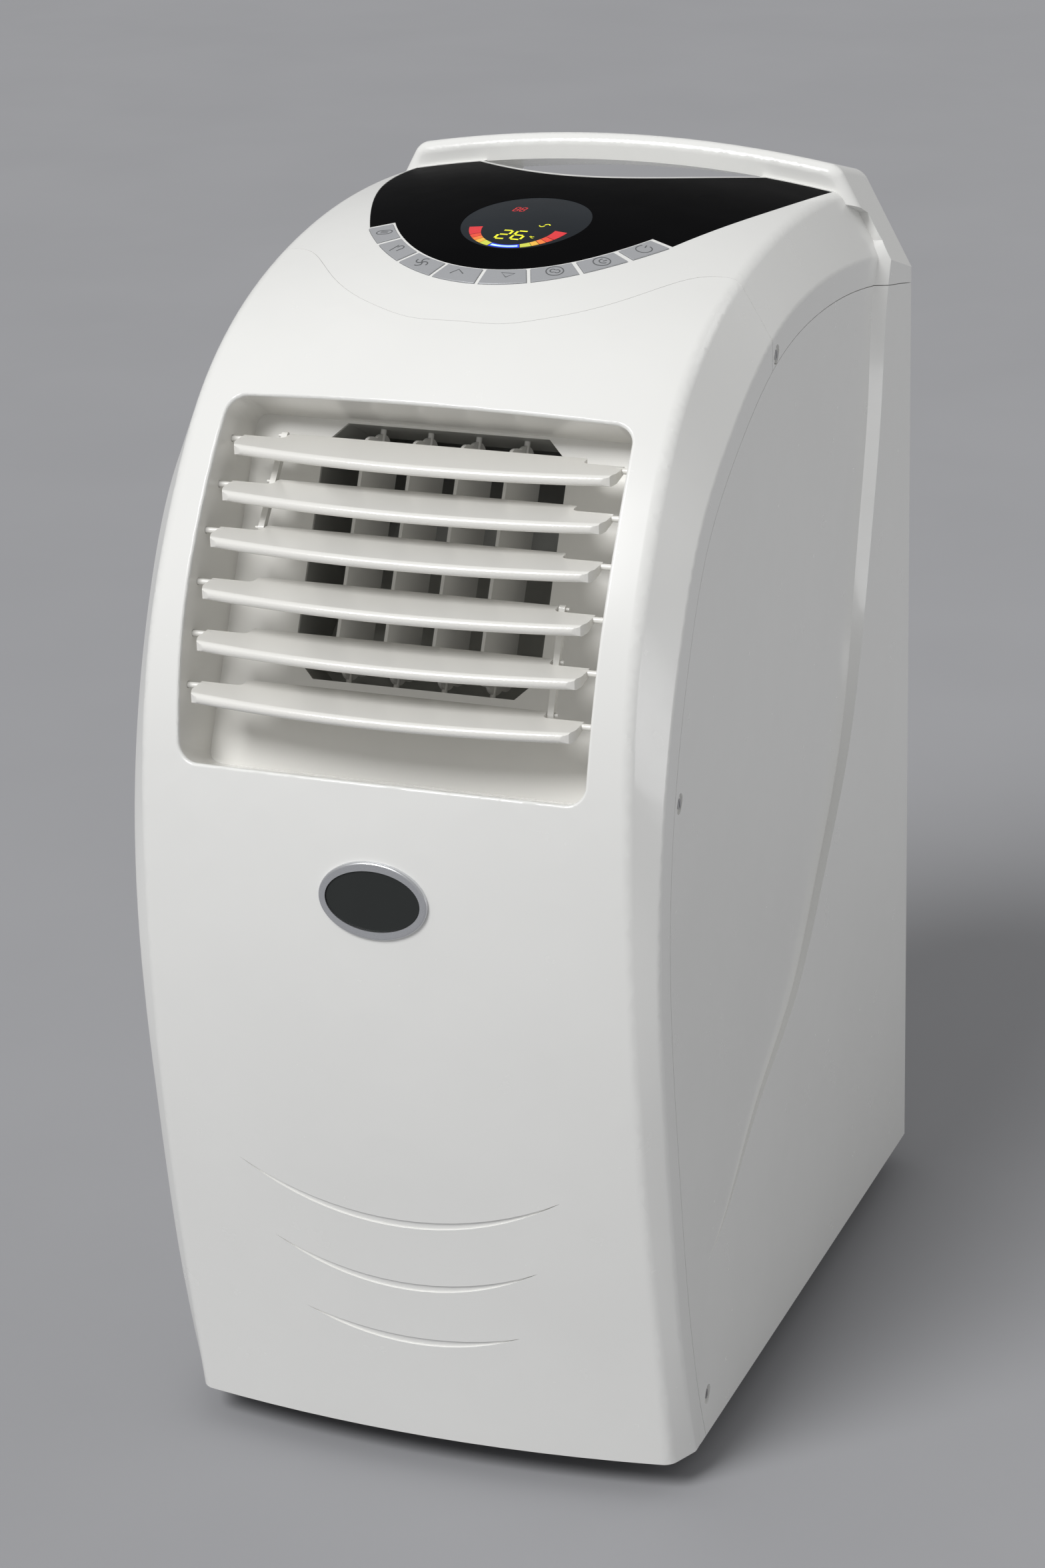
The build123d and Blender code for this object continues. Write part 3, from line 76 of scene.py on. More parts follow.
# ---------------------------------------------------------------- node helper
class Sheet:
    """Node tree of one material, with short calls to add and join nodes."""

    def __init__(self, name: str) -> None:
        """Start a material with only its output node.

        Args:
            name: name of the material.
        """
        self.material = bpy.data.materials.new(name)
        self.material.use_nodes = True
        self.tree = self.material.node_tree
        self.tree.nodes.clear()
        self.output = self.tree.nodes.new("ShaderNodeOutputMaterial")

    def add(self, kind: str, values: dict[str, object] | None = None, **settings: object) -> bpy.types.Node:
        """Add a node.

        Args:
            kind: Blender's type name of the node.
            values: input sockets to set, by name.
            settings: properties of the node to set.

        Returns:
            The new node.
        """
        node = self.tree.nodes.new(kind)
        for key, value in settings.items():
            setattr(node, key, value)
        for key, value in (values or {}).items():
            node.inputs[key].default_value = value
        return node

    def join(self, start: bpy.types.NodeSocket, end: bpy.types.NodeSocket) -> None:
        """Link one socket to another."""
        self.tree.links.new(start, end)

    def place(self, stretch: Sequence[float] = (1.0, 1.0, 1.0)) -> bpy.types.NodeSocket:
        """Object coordinates, stretched along the axes.

        Args:
            stretch: scale along X, Y and Z.

        Returns:
            The vector socket.
        """
        coordinates = self.add("ShaderNodeTexCoord")
        mapping = self.add("ShaderNodeMapping", {"Scale": stretch})
        self.join(coordinates.outputs["Object"], mapping.inputs["Vector"])
        return mapping.outputs["Vector"]

    def noise(self, vector: bpy.types.NodeSocket, scale: float, detail: float = 3.0) -> bpy.types.NodeSocket:
        """Noise value at a vector.

        Args:
            vector: where the noise is read.
            scale: spots per metre.
            detail: octaves of finer noise.

        Returns:
            The factor socket.
        """
        node = self.add("ShaderNodeTexNoise", {"Scale": scale, "Detail": detail, "Roughness": 0.55})
        self.join(vector, node.inputs["Vector"])
        return node.outputs["Fac"]

    def spread(self, value: bpy.types.NodeSocket, low: float, high: float) -> bpy.types.NodeSocket:
        """Map a noise value onto a range.

        Args:
            value: noise factor, mostly from 0.3 to 0.7.
            low: result at 0.3.
            high: result at 0.7.

        Returns:
            The mapped socket.
        """
        node = self.add("ShaderNodeMapRange", {"From Min": 0.3, "From Max": 0.7, "To Min": low, "To Max": high})
        self.join(value, node.inputs["Value"])
        return node.outputs["Result"]

    def tint(self, value: bpy.types.NodeSocket, first: Colour, second: Colour) -> bpy.types.NodeSocket:
        """Blend two colours by a noise value.

        Args:
            value: noise factor.
            first: colour at 0.35.
            second: colour at 0.65.

        Returns:
            The colour socket.
        """
        ramp = self.add("ShaderNodeValToRGB")
        ramp.color_ramp.elements[0].position = 0.35
        ramp.color_ramp.elements[0].color = (*first, 1.0)
        ramp.color_ramp.elements[1].position = 0.65
        ramp.color_ramp.elements[1].color = (*second, 1.0)
        self.join(value, ramp.inputs["Fac"])
        return ramp.outputs["Color"]

    def bump(self, height: bpy.types.NodeSocket, depth: float) -> bpy.types.NodeSocket:
        """Bumped normal.

        Args:
            height: height value.
            depth: height of the bumps in metres.

        Returns:
            The normal socket.
        """
        node = self.add("ShaderNodeBump", {"Strength": 1.0, "Distance": depth})
        self.join(height, node.inputs["Height"])
        return node.outputs["Normal"]

    def surface(self, values: dict[str, object]) -> bpy.types.Node:
        """Principled shader joined to the output."""
        shader = self.add("ShaderNodeBsdfPrincipled", values)
        self.join(shader.outputs["BSDF"], self.output.inputs["Surface"])
        return shader


def shade(colour: Colour, factor: float) -> Colour:
    """Colour multiplied by a factor."""
    return tuple(min(1.0, channel * factor) for channel in colour)


# ---------------------------------------------------------------- finishes
@dataclass(frozen=True)
class Moulding:
    """Injection-moulded plastic: slight mottling, fine orange peel and uneven gloss."""

    name: str
    colour: Colour
    roughness: float = 0.3
    uneven: float = 0.03
    mottle: float = 0.008
    peel_scale: float = 260.0
    peel_depth: float = 0.000004
    coat: float = 0.0
    specular: float = 0.5

    def make(self) -> bpy.types.Material:
        """Build the material."""
        sheet = Sheet(self.name)
        vector = sheet.place()
        shader = sheet.surface({"Coat Weight": self.coat, "Coat Roughness": 0.08, "Specular IOR Level": self.specular})
        cloud = sheet.noise(vector, 9.0)
        sheet.join(sheet.tint(cloud, shade(self.colour, 1 - self.mottle), shade(self.colour, 1 + self.mottle)),
                   shader.inputs["Base Color"])
        smear = sheet.noise(vector, 38.0, 4.0)
        sheet.join(sheet.spread(smear, self.roughness - self.uneven / 2, self.roughness + self.uneven / 2),
                   shader.inputs["Roughness"])
        sheet.join(sheet.bump(sheet.noise(vector, self.peel_scale, 2.0), self.peel_depth), shader.inputs["Normal"])
        return sheet.material


@dataclass(frozen=True)
class MetalPaint:
    """Silver paint or bare metal: fine flakes, optional brushing along X."""

    name: str
    colour: Colour
    metallic: float = 0.8
    roughness: float = 0.35
    flake_scale: float = 5200.0
    flake_depth: float = 0.000010
    brushed: float = 1.0

    def make(self) -> bpy.types.Material:
        """Build the material."""
        sheet = Sheet(self.name)
        vector = sheet.place((self.brushed, 1.0, 1.0))
        shader = sheet.surface({"Metallic": self.metallic})
        flakes = sheet.noise(vector, self.flake_scale, 2.0)
        sheet.join(sheet.tint(flakes, shade(self.colour, 0.93), shade(self.colour, 1.07)), shader.inputs["Base Color"])
        smear = sheet.noise(vector, 60.0, 4.0)
        sheet.join(sheet.spread(smear, self.roughness - 0.05, self.roughness + 0.05), shader.inputs["Roughness"])
        sheet.join(sheet.bump(flakes, self.flake_depth), shader.inputs["Normal"])
        return sheet.material


@dataclass(frozen=True)
class Stripes:
    """Fine parallel ridges along one axis, as on fin packs and tyre treads, with painted shade in the troughs between
    them.
    """

    name: str
    colour: Colour
    across: Colour = (1.0, 0.0, 0.0)
    pitch: float = 0.002
    depth: float = 0.0004
    metallic: float = 0.9
    roughness: float = 0.4

    def make(self) -> bpy.types.Material:
        """Build the material."""
        sheet = Sheet(self.name)
        vector = sheet.place(self.across)
        shader = sheet.surface({"Metallic": self.metallic})
        wave = sheet.add("ShaderNodeTexWave", {"Scale": 0.314 / self.pitch, "Distortion": 0.0})
        sheet.join(vector, wave.inputs["Vector"])
        # painted shade: the troughs between the ridges are coloured down to 0.45 of the colour
        sheet.join(sheet.tint(wave.outputs["Fac"], shade(self.colour, 0.45), self.colour), shader.inputs["Base Color"])
        smear = sheet.noise(sheet.place(), 45.0)
        sheet.join(sheet.spread(smear, self.roughness - 0.08, self.roughness + 0.08), shader.inputs["Roughness"])
        sheet.join(sheet.bump(wave.outputs["Fac"], self.depth), shader.inputs["Normal"])
        return sheet.material


@dataclass(frozen=True)
class Glow:
    """Lit segment of the display: an even colour with a brighter core from fine noise."""

    name: str
    colour: Colour
    strength: float = 1.0

    def make(self) -> bpy.types.Material:
        """Build the material."""
        sheet = Sheet(self.name)
        vector = sheet.place()
        shader = sheet.surface({"Base Color": (*shade(self.colour, 0.3), 1.0), "Roughness": 0.35,
                                "Emission Strength": self.strength})
        grain = sheet.noise(vector, 900.0, 2.0)
        sheet.join(sheet.tint(grain, shade(self.colour, 0.85), self.colour), shader.inputs["Emission Color"])
        return sheet.material


class Finish(Enum):
    """Every finish of the machine."""

    CASE = Moulding("case_white_gloss", (0.83, 0.83, 0.81), roughness=0.26, coat=0.25)
    LOUVRE = Moulding("louvre_white_gloss", (0.81, 0.80, 0.765), roughness=0.24, coat=0.3)
    # painted shade: the white duct behind the louvres is coloured mid grey to stand for the shade deep inside the
    # outlet
    DUCT = Moulding("duct_white_painted_shade", (0.34, 0.34, 0.32), roughness=0.55)
    INNER = Moulding("inner_white", (0.62, 0.62, 0.60), roughness=0.5, peel_depth=0.00003)
    FIELD = Moulding("control_field_black", (0.0042, 0.0042, 0.0046), roughness=0.4, mottle=0.1, specular=0.002)
    WINDOW = Moulding("display_window_smoke", (0.019, 0.023, 0.028), roughness=0.22, mottle=0.12, specular=0.02)
    KEY = MetalPaint("key_silver_paint", (0.47, 0.48, 0.50), metallic=0.4, roughness=0.36)
    # painted shade: the engraved key marks are drawn as dark grey strokes that stand for the shade in their grooves
    KEY_MARK = MetalPaint("key_mark_painted_shade", (0.13, 0.135, 0.14), metallic=0.3, roughness=0.5)
    BADGE_RING = MetalPaint("badge_satin_silver", (0.66, 0.67, 0.69), metallic=0.9, roughness=0.3, brushed=0.15)
    BADGE_FACE = Moulding("badge_charcoal", (0.015, 0.0175, 0.0168), roughness=0.45, mottle=0.08, peel_depth=0.00002)
    SCREW = MetalPaint("screw_bright_steel", (0.55, 0.55, 0.55), metallic=1.0, roughness=0.3)
    THREADS = Moulding("filter_thread_grey", (0.10, 0.10, 0.105), roughness=0.6, mottle=0.2)
    RUBBER = Moulding("rubber_black", (0.012, 0.012, 0.012), roughness=0.7, mottle=0.2, peel_depth=0.00005)
    BASE = Moulding("base_grey", (0.030, 0.030, 0.032), roughness=0.5, mottle=0.1, peel_depth=0.00006)
    FINS = Stripes("fin_pack_aluminium", (0.72, 0.74, 0.75))
    FAN = Moulding("fan_black", (0.012, 0.012, 0.012), roughness=0.4, mottle=0.1)
    MOTOR = MetalPaint("motor_zinc", (0.50, 0.50, 0.49), metallic=0.95, roughness=0.42, flake_scale=900.0)
    SHELL = MetalPaint("compressor_black_paint", (0.010, 0.010, 0.010), metallic=0.0, roughness=0.28,
                       flake_scale=1500.0, flake_depth=0.00003)
    COPPER = MetalPaint("bare_copper", (0.72, 0.33, 0.19), metallic=1.0, roughness=0.3, flake_scale=400.0)
    BOARD = Moulding("circuit_board_green", (0.010, 0.085, 0.030), roughness=0.35, mottle=0.25)
    CASTOR = Moulding("castor_black_nylon", (0.016, 0.016, 0.016), roughness=0.45, mottle=0.1, peel_depth=0.00004)
    WHEEL = Stripes("wheel_black_nylon", (0.016, 0.016, 0.016), (1.0, 0.0, 0.0), 0.003, 0.0002, 0.0, 0.5)
    YELLOW = Glow("segment_yellow", (0.90, 0.90, 0.02), 1.1)
    RED = Glow("segment_red", (0.70, 0.018, 0.025), 0.85)
    RED_ORANGE = Glow("segment_vermilion", (0.80, 0.06, 0.02), 0.85)
    ORANGE = Glow("segment_orange", (0.86, 0.20, 0.03), 0.9)
    AMBER = Glow("segment_amber", (0.86, 0.48, 0.05), 0.85)
    LIME = Glow("segment_lime", (0.66, 0.70, 0.07), 0.8)
    BLUE = Glow("segment_blue", (0.012, 0.035, 0.75), 1.2)
    ICE = Glow("segment_ice", (0.42, 0.80, 1.0), 1.6)

    def material(self) -> bpy.types.Material:
        """The finish's material, built once."""
        found = bpy.data.materials.get(self.value.name)
        return found or self.value.make()


NODE_FINISH: dict[str, Finish] = {
    "control_panel": Finish.FIELD, "display_window": Finish.WINDOW, "badge_ring": Finish.BADGE_RING,
    "badge_oval": Finish.BADGE_FACE, "shell_screws": Finish.SCREW, "louvre_frame": Finish.LOUVRE,
    "air_duct": Finish.DUCT, "rear_panel": Finish.CASE, "filter_cassette": Finish.INNER,
    "filter_mesh": Finish.THREADS, "exhaust_collar": Finish.INNER, "drain_plug": Finish.RUBBER,
    "cord_gland": Finish.RUBBER, "base_pan": Finish.BASE, "mid_deck": Finish.INNER,
    "evaporator_coil": Finish.FINS, "condenser_coil": Finish.FINS, "cold_blower_housing": Finish.INNER,
    "hot_blower_housing": Finish.INNER, "cold_blower_wheel": Finish.FAN, "hot_blower_wheel": Finish.FAN,
    "cold_blower_motor": Finish.MOTOR, "hot_blower_motor": Finish.MOTOR, "exhaust_duct": Finish.INNER,
    "compressor": Finish.SHELL, "refrigerant_pipes": Finish.COPPER, "control_board": Finish.BOARD,
}


# ---------------------------------------------------------------- mesh helpers
def link(name: str, mesh: bpy.types.Mesh) -> bpy.types.Object:
    """Object of a mesh, placed in the scene at the origin."""
    piece = bpy.data.objects.new(name, mesh)
    bpy.context.scene.collection.objects.link(piece)
    return piece


def body_of(node: str) -> str:
    """Name of the body that a node belongs to."""
    return frame["nodes"][node]["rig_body"]


def smooth_copy(node: str, finish: Finish, crease_deg: float = 32.0, bevel: float = 0.0) -> bpy.types.Object:
    """Smoothly shaded piece that stands for a node of the frame.

    Args:
        node: the node to copy.
        finish: finish of the piece.
        crease_deg: edges sharper than this stay sharp.
        bevel: width in metres of a small round on the sharp edges, or 0 for none.

    Returns:
        The new piece, already riding on the node's body.
    """
    mesh = bmesh.new()
    mesh.from_mesh(frame["nodes"][node].data)
    bmesh.ops.remove_doubles(mesh, verts=mesh.verts, dist=2e-6)
    if bevel:
        bmesh.ops.dissolve_limit(mesh, angle_limit=math.radians(1.0), verts=mesh.verts, edges=mesh.edges)
    for edge in mesh.edges:
        edge.smooth = len(edge.link_faces) == 2 and edge.calc_face_angle(0.0) < math.radians(crease_deg)
    for face in mesh.faces:
        face.smooth = True
    data = bpy.data.meshes.new(node + "_form")
    mesh.to_mesh(data)
    mesh.free()
    piece = link(node + "_skin", data)
    if bevel:
        modifier = piece.modifiers.new("round", "BEVEL")
        modifier.width = bevel
        modifier.segments = 2
        modifier.limit_method = "ANGLE"
        modifier.angle_limit = math.radians(crease_deg)
        modifier.harden_normals = True
    weigh = piece.modifiers.new("weigh", "WEIGHTED_NORMAL")
    weigh.keep_sharp = True
    weigh.weight = 60
    data.materials.append(finish.material())
    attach(piece, body_of(node))
    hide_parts(node)
    return piece


def dress(node: str, finish: Finish) -> None:
    """Give a node of the frame its finish."""
    data = frame["nodes"][node].data
    data.materials.clear()
    data.materials.append(finish.material())


class Surface:
    """A node's surface, onto which flat detail is dropped."""

    def __init__(self, node: str, lift: float) -> None:
        """Prepare the node for drops.

        Args:
            node: node that carries the detail.
            lift: height of the detail above the surface in metres.
        """
        data = frame["nodes"][node].data
        vertices = [vertex.co.copy() for vertex in data.vertices]
        self.tree = BVHTree.FromPolygons(vertices, [tuple(face.vertices) for face in data.polygons])
        self.lift = lift
        self.low, self.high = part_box(node)

    def drop(self, x: float, y: float) -> Vector:
        """Point on the surface straight below (x, y), raised by the lift."""
        hit = self.tree.ray_cast(Vector((x, y, 2.0)), Vector((0.0, 0.0, -1.0)))[0]
        height = hit.z if hit is not None else self.high.z
        return Vector((x, y, height + self.lift))


def ribbon(points: Sequence[Point], width: float, closed: bool = False) -> list[list[Point]]:
    """Quads of a flat stroke along a line in plan.

    Args:
        points: the line's points.
        width: width of the stroke.
        closed: whether the line returns to its start.

    Returns:
        A list of quads, each of four plan points, anticlockwise.
    """
    count = len(points)
    sides = []
    for index, point in enumerate(points):
        before = points[index - 1] if index or closed else point
        after = points[(index + 1) % count] if index < count - 1 or closed else point
        run = Vector((after[0] - before[0], after[1] - before[1]))
        across = Vector((-run.y, run.x)).normalized() * width / 2
        sides.append(((point[0] + across.x, point[1] + across.y), (point[0] - across.x, point[1] - across.y)))
    steps = count if closed else count - 1
    quads = []
    for index in range(steps):
        (left, right), (next_left, next_right) = sides[index], sides[(index + 1) % count]
        quads.append([right, next_right, next_left, left])
    return quads


def arc(centre: Point, radii: Point, start_deg: float, end_deg: float, steps: int = 16) -> list[Point]:
    """Points along an elliptic arc."""
    points = []
    for step in range(steps + 1):
        angle = math.radians(start_deg + (end_deg - start_deg) * step / steps)
        points.append((centre[0] + radii[0] * math.cos(angle), centre[1] + radii[1] * math.sin(angle)))
    return points


def dropped(name: str, quads: Iterable[Sequence[Point]], surface: Surface, finish: Finish, body: str,
            thickness: float = 0.00006) -> bpy.types.Object:
    """Thin closed piece made of plan quads laid on a surface.

    Args:
        name: name of the piece.
        quads: plan outlines, anticlockwise.
        surface: what the piece lies on.
        finish: finish of the piece.
        body: body that it rides on.
        thickness: thickness of the piece in metres.

    Returns:
        The piece.
    """
    mesh = bmesh.new()
    for quad in quads:
        mesh.faces.new([mesh.verts.new(surface.drop(*point)) for point in quad])
    bmesh.ops.remove_doubles(mesh, verts=mesh.verts, dist=1e-6)
    made = bmesh.ops.extrude_face_region(mesh, geom=mesh.faces[:])
    for item in made["geom"]:
        if isinstance(item, bmesh.types.BMVert):
            item.co.z += thickness
    bmesh.ops.recalc_face_normals(mesh, faces=mesh.faces)
    data = bpy.data.meshes.new(name + "_form")
    mesh.to_mesh(data)
    mesh.free()
    piece = link(name, data)
    data.materials.append(finish.material())
    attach(piece, body)
    return piece


# ---------------------------------------------------------------- case
@dataclass
class CaseShell:
    """The white mouldings and the black field between them."""

    glossy: tuple[str, ...] = ("front_panel", "top_cover", "side_panel_left", "side_panel_right")
    crease_deg: float = 24.0

    def build(self) -> int:
        """Make the smooth shells.

        Returns:
            The number of pieces made.
        """
        for node in self.glossy:
            smooth_copy(node, Finish.CASE, self.crease_deg)
        smooth_copy("control_panel", Finish.FIELD, self.crease_deg)
        smooth_copy("display_window", Finish.WINDOW, self.crease_deg)
        return len(self.glossy) + 2


@dataclass
class Badge:
    """Oval badge: satin ring and bare charcoal face."""

    crease_deg: float = 40.0

    def build(self) -> int:
        """Make the ring and the face.

        Returns:
            The number of pieces made.
        """
        smooth_copy("badge_ring", Finish.BADGE_RING, self.crease_deg)
        smooth_copy("badge_oval", Finish.BADGE_FACE, self.crease_deg)
        return 2


@dataclass
class Louvres:
    """Blades, vanes, their links and the tub."""

    blades: int = 6
    vanes: int = 4
    crease_deg: float = 40.0

    def build(self) -> int:
        """Make the smooth louvre pieces.

        Returns:
            The number of pieces made.
        """
        names = [f"blade_{number}" for number in range(1, self.blades + 1)]
        names += [f"vane_{number}" for number in range(1, self.vanes + 1)]
        names += ["blade_link_upper", "blade_link_lower", "vane_link", "louvre_frame"]
        for name in names:
            smooth_copy(name, Finish.LOUVRE, self.crease_deg)
        return len(names)


# ---------------------------------------------------------------- keys and display
class Mark(Enum):
    """Generic marks of the keys, left to right."""

    MODE = 1
    SLANT = 2
    FAN = 3
    UP = 4
    DOWN = 5
    RING_BARS = 6
    TIMER = 7
    POWER = 8


@dataclass
class Keys:
    """The bow of silver keys with their marks, drawn as thin raised dark grey strokes that stand for the painted shade
    in the engraved lines.
    """

    stroke: float = 0.00075
    reach: float = 0.0058

    def lines(self, mark: Mark) -> list[tuple[list[Point], bool]]:
        """Lines of a mark on a unit square, each with whether it is closed.

        Args:
            mark: which mark.

        Returns:
            Pairs of points and closedness.
        """
        ring = (arc((0, 0), (1, 1), 0, 345, 23), True)
        table: dict[Mark, list[tuple[list[Point], bool]]] = {
            Mark.MODE: [(arc((-0.35, 0), (0.6, 0.6), 90, 270, 10) + arc((0.35, 0), (0.6, 0.6), -90, 90, 10), True),
                        ([(-0.45, 0.15), (0.45, 0.15)], False), ([(-0.45, -0.15), (0.45, -0.15)], False)],
            Mark.SLANT: [([(-0.75, -0.7), (-0.1, 0.75)], False),
                         (arc((0.35, 0.1), (0.4, 0.45), 170, -60, 12) + [(0.15, -0.75)], False)],
            Mark.FAN: [(arc((0.35, 0.35), (0.45, 0.45), 225, 45, 9), False),
                       (arc((-0.35, -0.35), (0.45, 0.45), 45, -135, 9), False),
                       (arc((0.35, -0.35), (0.45, 0.45), 135, -45, 9), False),
                       (arc((-0.35, 0.35), (0.45, 0.45), -45, -225, 9), False)],
            Mark.UP: [([(-0.8, -0.4), (0.0, 0.5), (0.8, -0.4)], False)],
            Mark.DOWN: [([(-0.8, 0.4), (0.8, 0.4), (0.0, -0.5)], True)],
            Mark.RING_BARS: [ring, (arc((-0.25, 0), (0.3, 0.35), 40, 320, 9), False),
                             (arc((0.3, 0), (0.3, 0.35), -140, 140, 9), False)],
            Mark.TIMER: [ring, (arc((0.15, 0.15), (0.5, 0.5), 120, 330, 10), False),
                         ([(0.1, 0.1), (0.45, 0.5)], False)],
            Mark.POWER: [(arc((0, 0), (0.95, 0.95), 120, 420, 22), False), ([(0, 0.35), (0, 1.0)], False)],
        }
        return table[mark]

    def build(self) -> int:
        """Make the keys and their marks.

        Returns:
            The number of pieces made.
        """
        for mark in Mark:
            node = f"button_{mark.value}"
            smooth_copy(node, Finish.KEY, 40.0, 0.00035)
            low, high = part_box(node)
            surface = Surface(node, 0.00002)
            centre = (low + high) / 2
            quads = []
            for points, closed in self.lines(mark):
                placed = [(centre.x + self.reach * px, centre.y + self.reach * py) for px, py in points]
                quads += ribbon(placed, self.stroke, closed)
            dropped(f"key_mark_{mark.value}", quads, surface, Finish.KEY_MARK, body_of(node))
        return 2 * len(Mark)


@dataclass
class Display:
    """Lit figures behind the smoked window."""

    lift: float = 0.00003
    core_lift: float = 0.000066
    gauge_centre: Point = (0.0, 0.0004)
    gauge_middle: float = 270.0
    gauge_radii: Point = (0.0308, 0.0366)
    gauge_widths: Point = (0.0044, 0.0092)
    gauge_reach: float = 80.0
    gauge_swell: float = 1.4
    blue_reach: float = 19.5
    core_reach: float = 17.5
    core_share: float = 0.42
    flank: tuple[tuple[Finish, float, float], ...] = (
        (Finish.LIME, 20.5, 33), (Finish.AMBER, 33.6, 42), (Finish.ORANGE, 42.8, 50),
        (Finish.RED_ORANGE, 50.8, 59), (Finish.RED, 60, 80))
    digit_size: Point = (0.0073, 0.0142)
    digit_lean: float = 0.0016
    digit_stroke: float = 0.0016
    digit_places: tuple[Point, ...] = ((-0.0110, -0.0243), (-0.0001, -0.0243))
    small_size: Point = (0.0030, 0.0080)
    small_lean: float = 0.0010
    small_stroke: float = 0.0007
    small_places: tuple[Point, ...] = ((-0.0163, 0.0268), (-0.0116, 0.0268))
    degree_centre: Point = (0.0128, -0.0180)
    celsius_centre: Point = (0.0146, -0.0192)
    fan_centres: tuple[Point, ...] = ((0.0140, 0.0024), (0.0174, 0.0030))
    fan_radii: Point = (0.0018, 0.0022)
    fan_stroke: float = 0.0008
    segments: dict[str, str] = field(default_factory=lambda: {"2": "abged", "6": "afgedc", "8": "abcdefg"})

    def digit(self, figure: str, corner: Point, size: Point, stroke: float, lean: float) -> list[list[Point]]:
        """Quads of one seven-segment figure.

        Args:
            figure: the figure.
            corner: its lower left corner in plan.
            size: width and height.
            stroke: width of a segment.
            lean: shift to the right of its top.

        Returns:
            The quads.
        """
        wide, tall = size
        gap = 0.12 * wide
        ends = {
            "a": ((gap, tall), (wide - gap, tall)), "d": ((gap, 0.0), (wide - gap, 0.0)),
            "g": ((gap, tall / 2), (wide - gap, tall / 2)), "b": ((wide, tall - gap), (wide, tall / 2 + gap)),
            "c": ((wide, tall / 2 - gap), (wide, gap)), "f": ((0.0, tall - gap), (0.0, tall / 2 + gap)),
            "e": ((0.0, tall / 2 - gap), (0.0, gap)),
        }
        quads = []
        for letter in self.segments[figure]:
            line = [(corner[0] + x + lean * y / tall, corner[1] + y) for x, y in ends[letter]]
            quads += ribbon(line, stroke)
        return quads

    def gauge(self, start: float, end: float, share: float = 1.0, steps: int = 8) -> list[list[Point]]:
        """Quads of one part of the curved gauge, which widens from its middle to its ends.

        Args:
            start: start angle in degrees.
            end: end angle in degrees.
            share: share of the gauge's width that the part fills.
            steps: number of quads.

        Returns:
            The quads.
        """
        rails = []
        for step in range(steps + 1):
            angle = start + (end - start) * step / steps
            away = abs(angle - self.gauge_middle) / self.gauge_reach
            narrow, wide = self.gauge_widths
            half = share * (narrow + (wide - narrow) * away ** self.gauge_swell) / 2
            turn = Vector((math.cos(math.radians(angle)), math.sin(math.radians(angle))))
            rails.append([(self.gauge_centre[0] + (self.gauge_radii[0] + side * half) * turn.x,
                           self.gauge_centre[1] + (self.gauge_radii[1] + side * half) * turn.y) for side in (-1, 1)])
        return [[near[0], near[1], far[1], far[0]] for near, far in zip(rails, rails[1:])]

    def build(self) -> int:
        """Make every lit figure.

        Returns:
            The number of pieces made.
        """
        surface = Surface("display_window", self.lift)
        above = Surface("display_window", self.core_lift)
        middle = self.gauge_middle
        blue = self.gauge(middle - self.blue_reach, middle + self.blue_reach)
        dropped("gauge_blue", blue, surface, Finish.BLUE, "case")
        core = self.gauge(middle - self.core_reach, middle + self.core_reach, self.core_share)
        dropped("gauge_core", core, above, Finish.ICE, "case")
        for index, (finish, near, far) in enumerate(self.flank, start=1):
            dropped(f"gauge_left_{index}", self.gauge(middle - far, middle - near), surface, finish, "case")
            dropped(f"gauge_right_{index}", self.gauge(middle + near, middle + far), surface, finish, "case")
        figures = {
            "figures_temperature": (self.temperature(), Finish.YELLOW), "figures_time": (self.time(), Finish.RED),
            "figure_fan": (self.fan(), Finish.YELLOW),
        }
        for name, (quads, finish) in figures.items():
            dropped(name, quads, surface, finish, "case")
        return 2 * len(self.flank) + 2 + len(figures)

    def temperature(self) -> list[list[Point]]:
        """Quads of the set temperature and its unit."""
        quads = []
        for figure, place in zip("26", self.digit_places):
            quads += self.digit(figure, place, self.digit_size, self.digit_stroke, self.digit_lean)
        quads += ribbon(arc(self.degree_centre, (0.0006, 0.0006), 0, 330, 8), 0.0003, True)
        return quads + ribbon(arc(self.celsius_centre, (0.0011, 0.0013), 45, 315, 8), 0.0004)

    def time(self) -> list[list[Point]]:
        """Quads of the small timer figures."""
        quads = []
        for place in self.small_places:
            quads += self.digit("8", place, self.small_size, self.small_stroke, self.small_lean)
        return quads

    def fan(self) -> list[list[Point]]:
        """Quads of the fan sign, a wave of two half turns."""
        lower, upper = self.fan_centres
        wave = ribbon(arc(lower, self.fan_radii, 190, 350, 8), self.fan_stroke)
        return wave + ribbon(arc(upper, self.fan_radii, 170, 10, 8), self.fan_stroke)


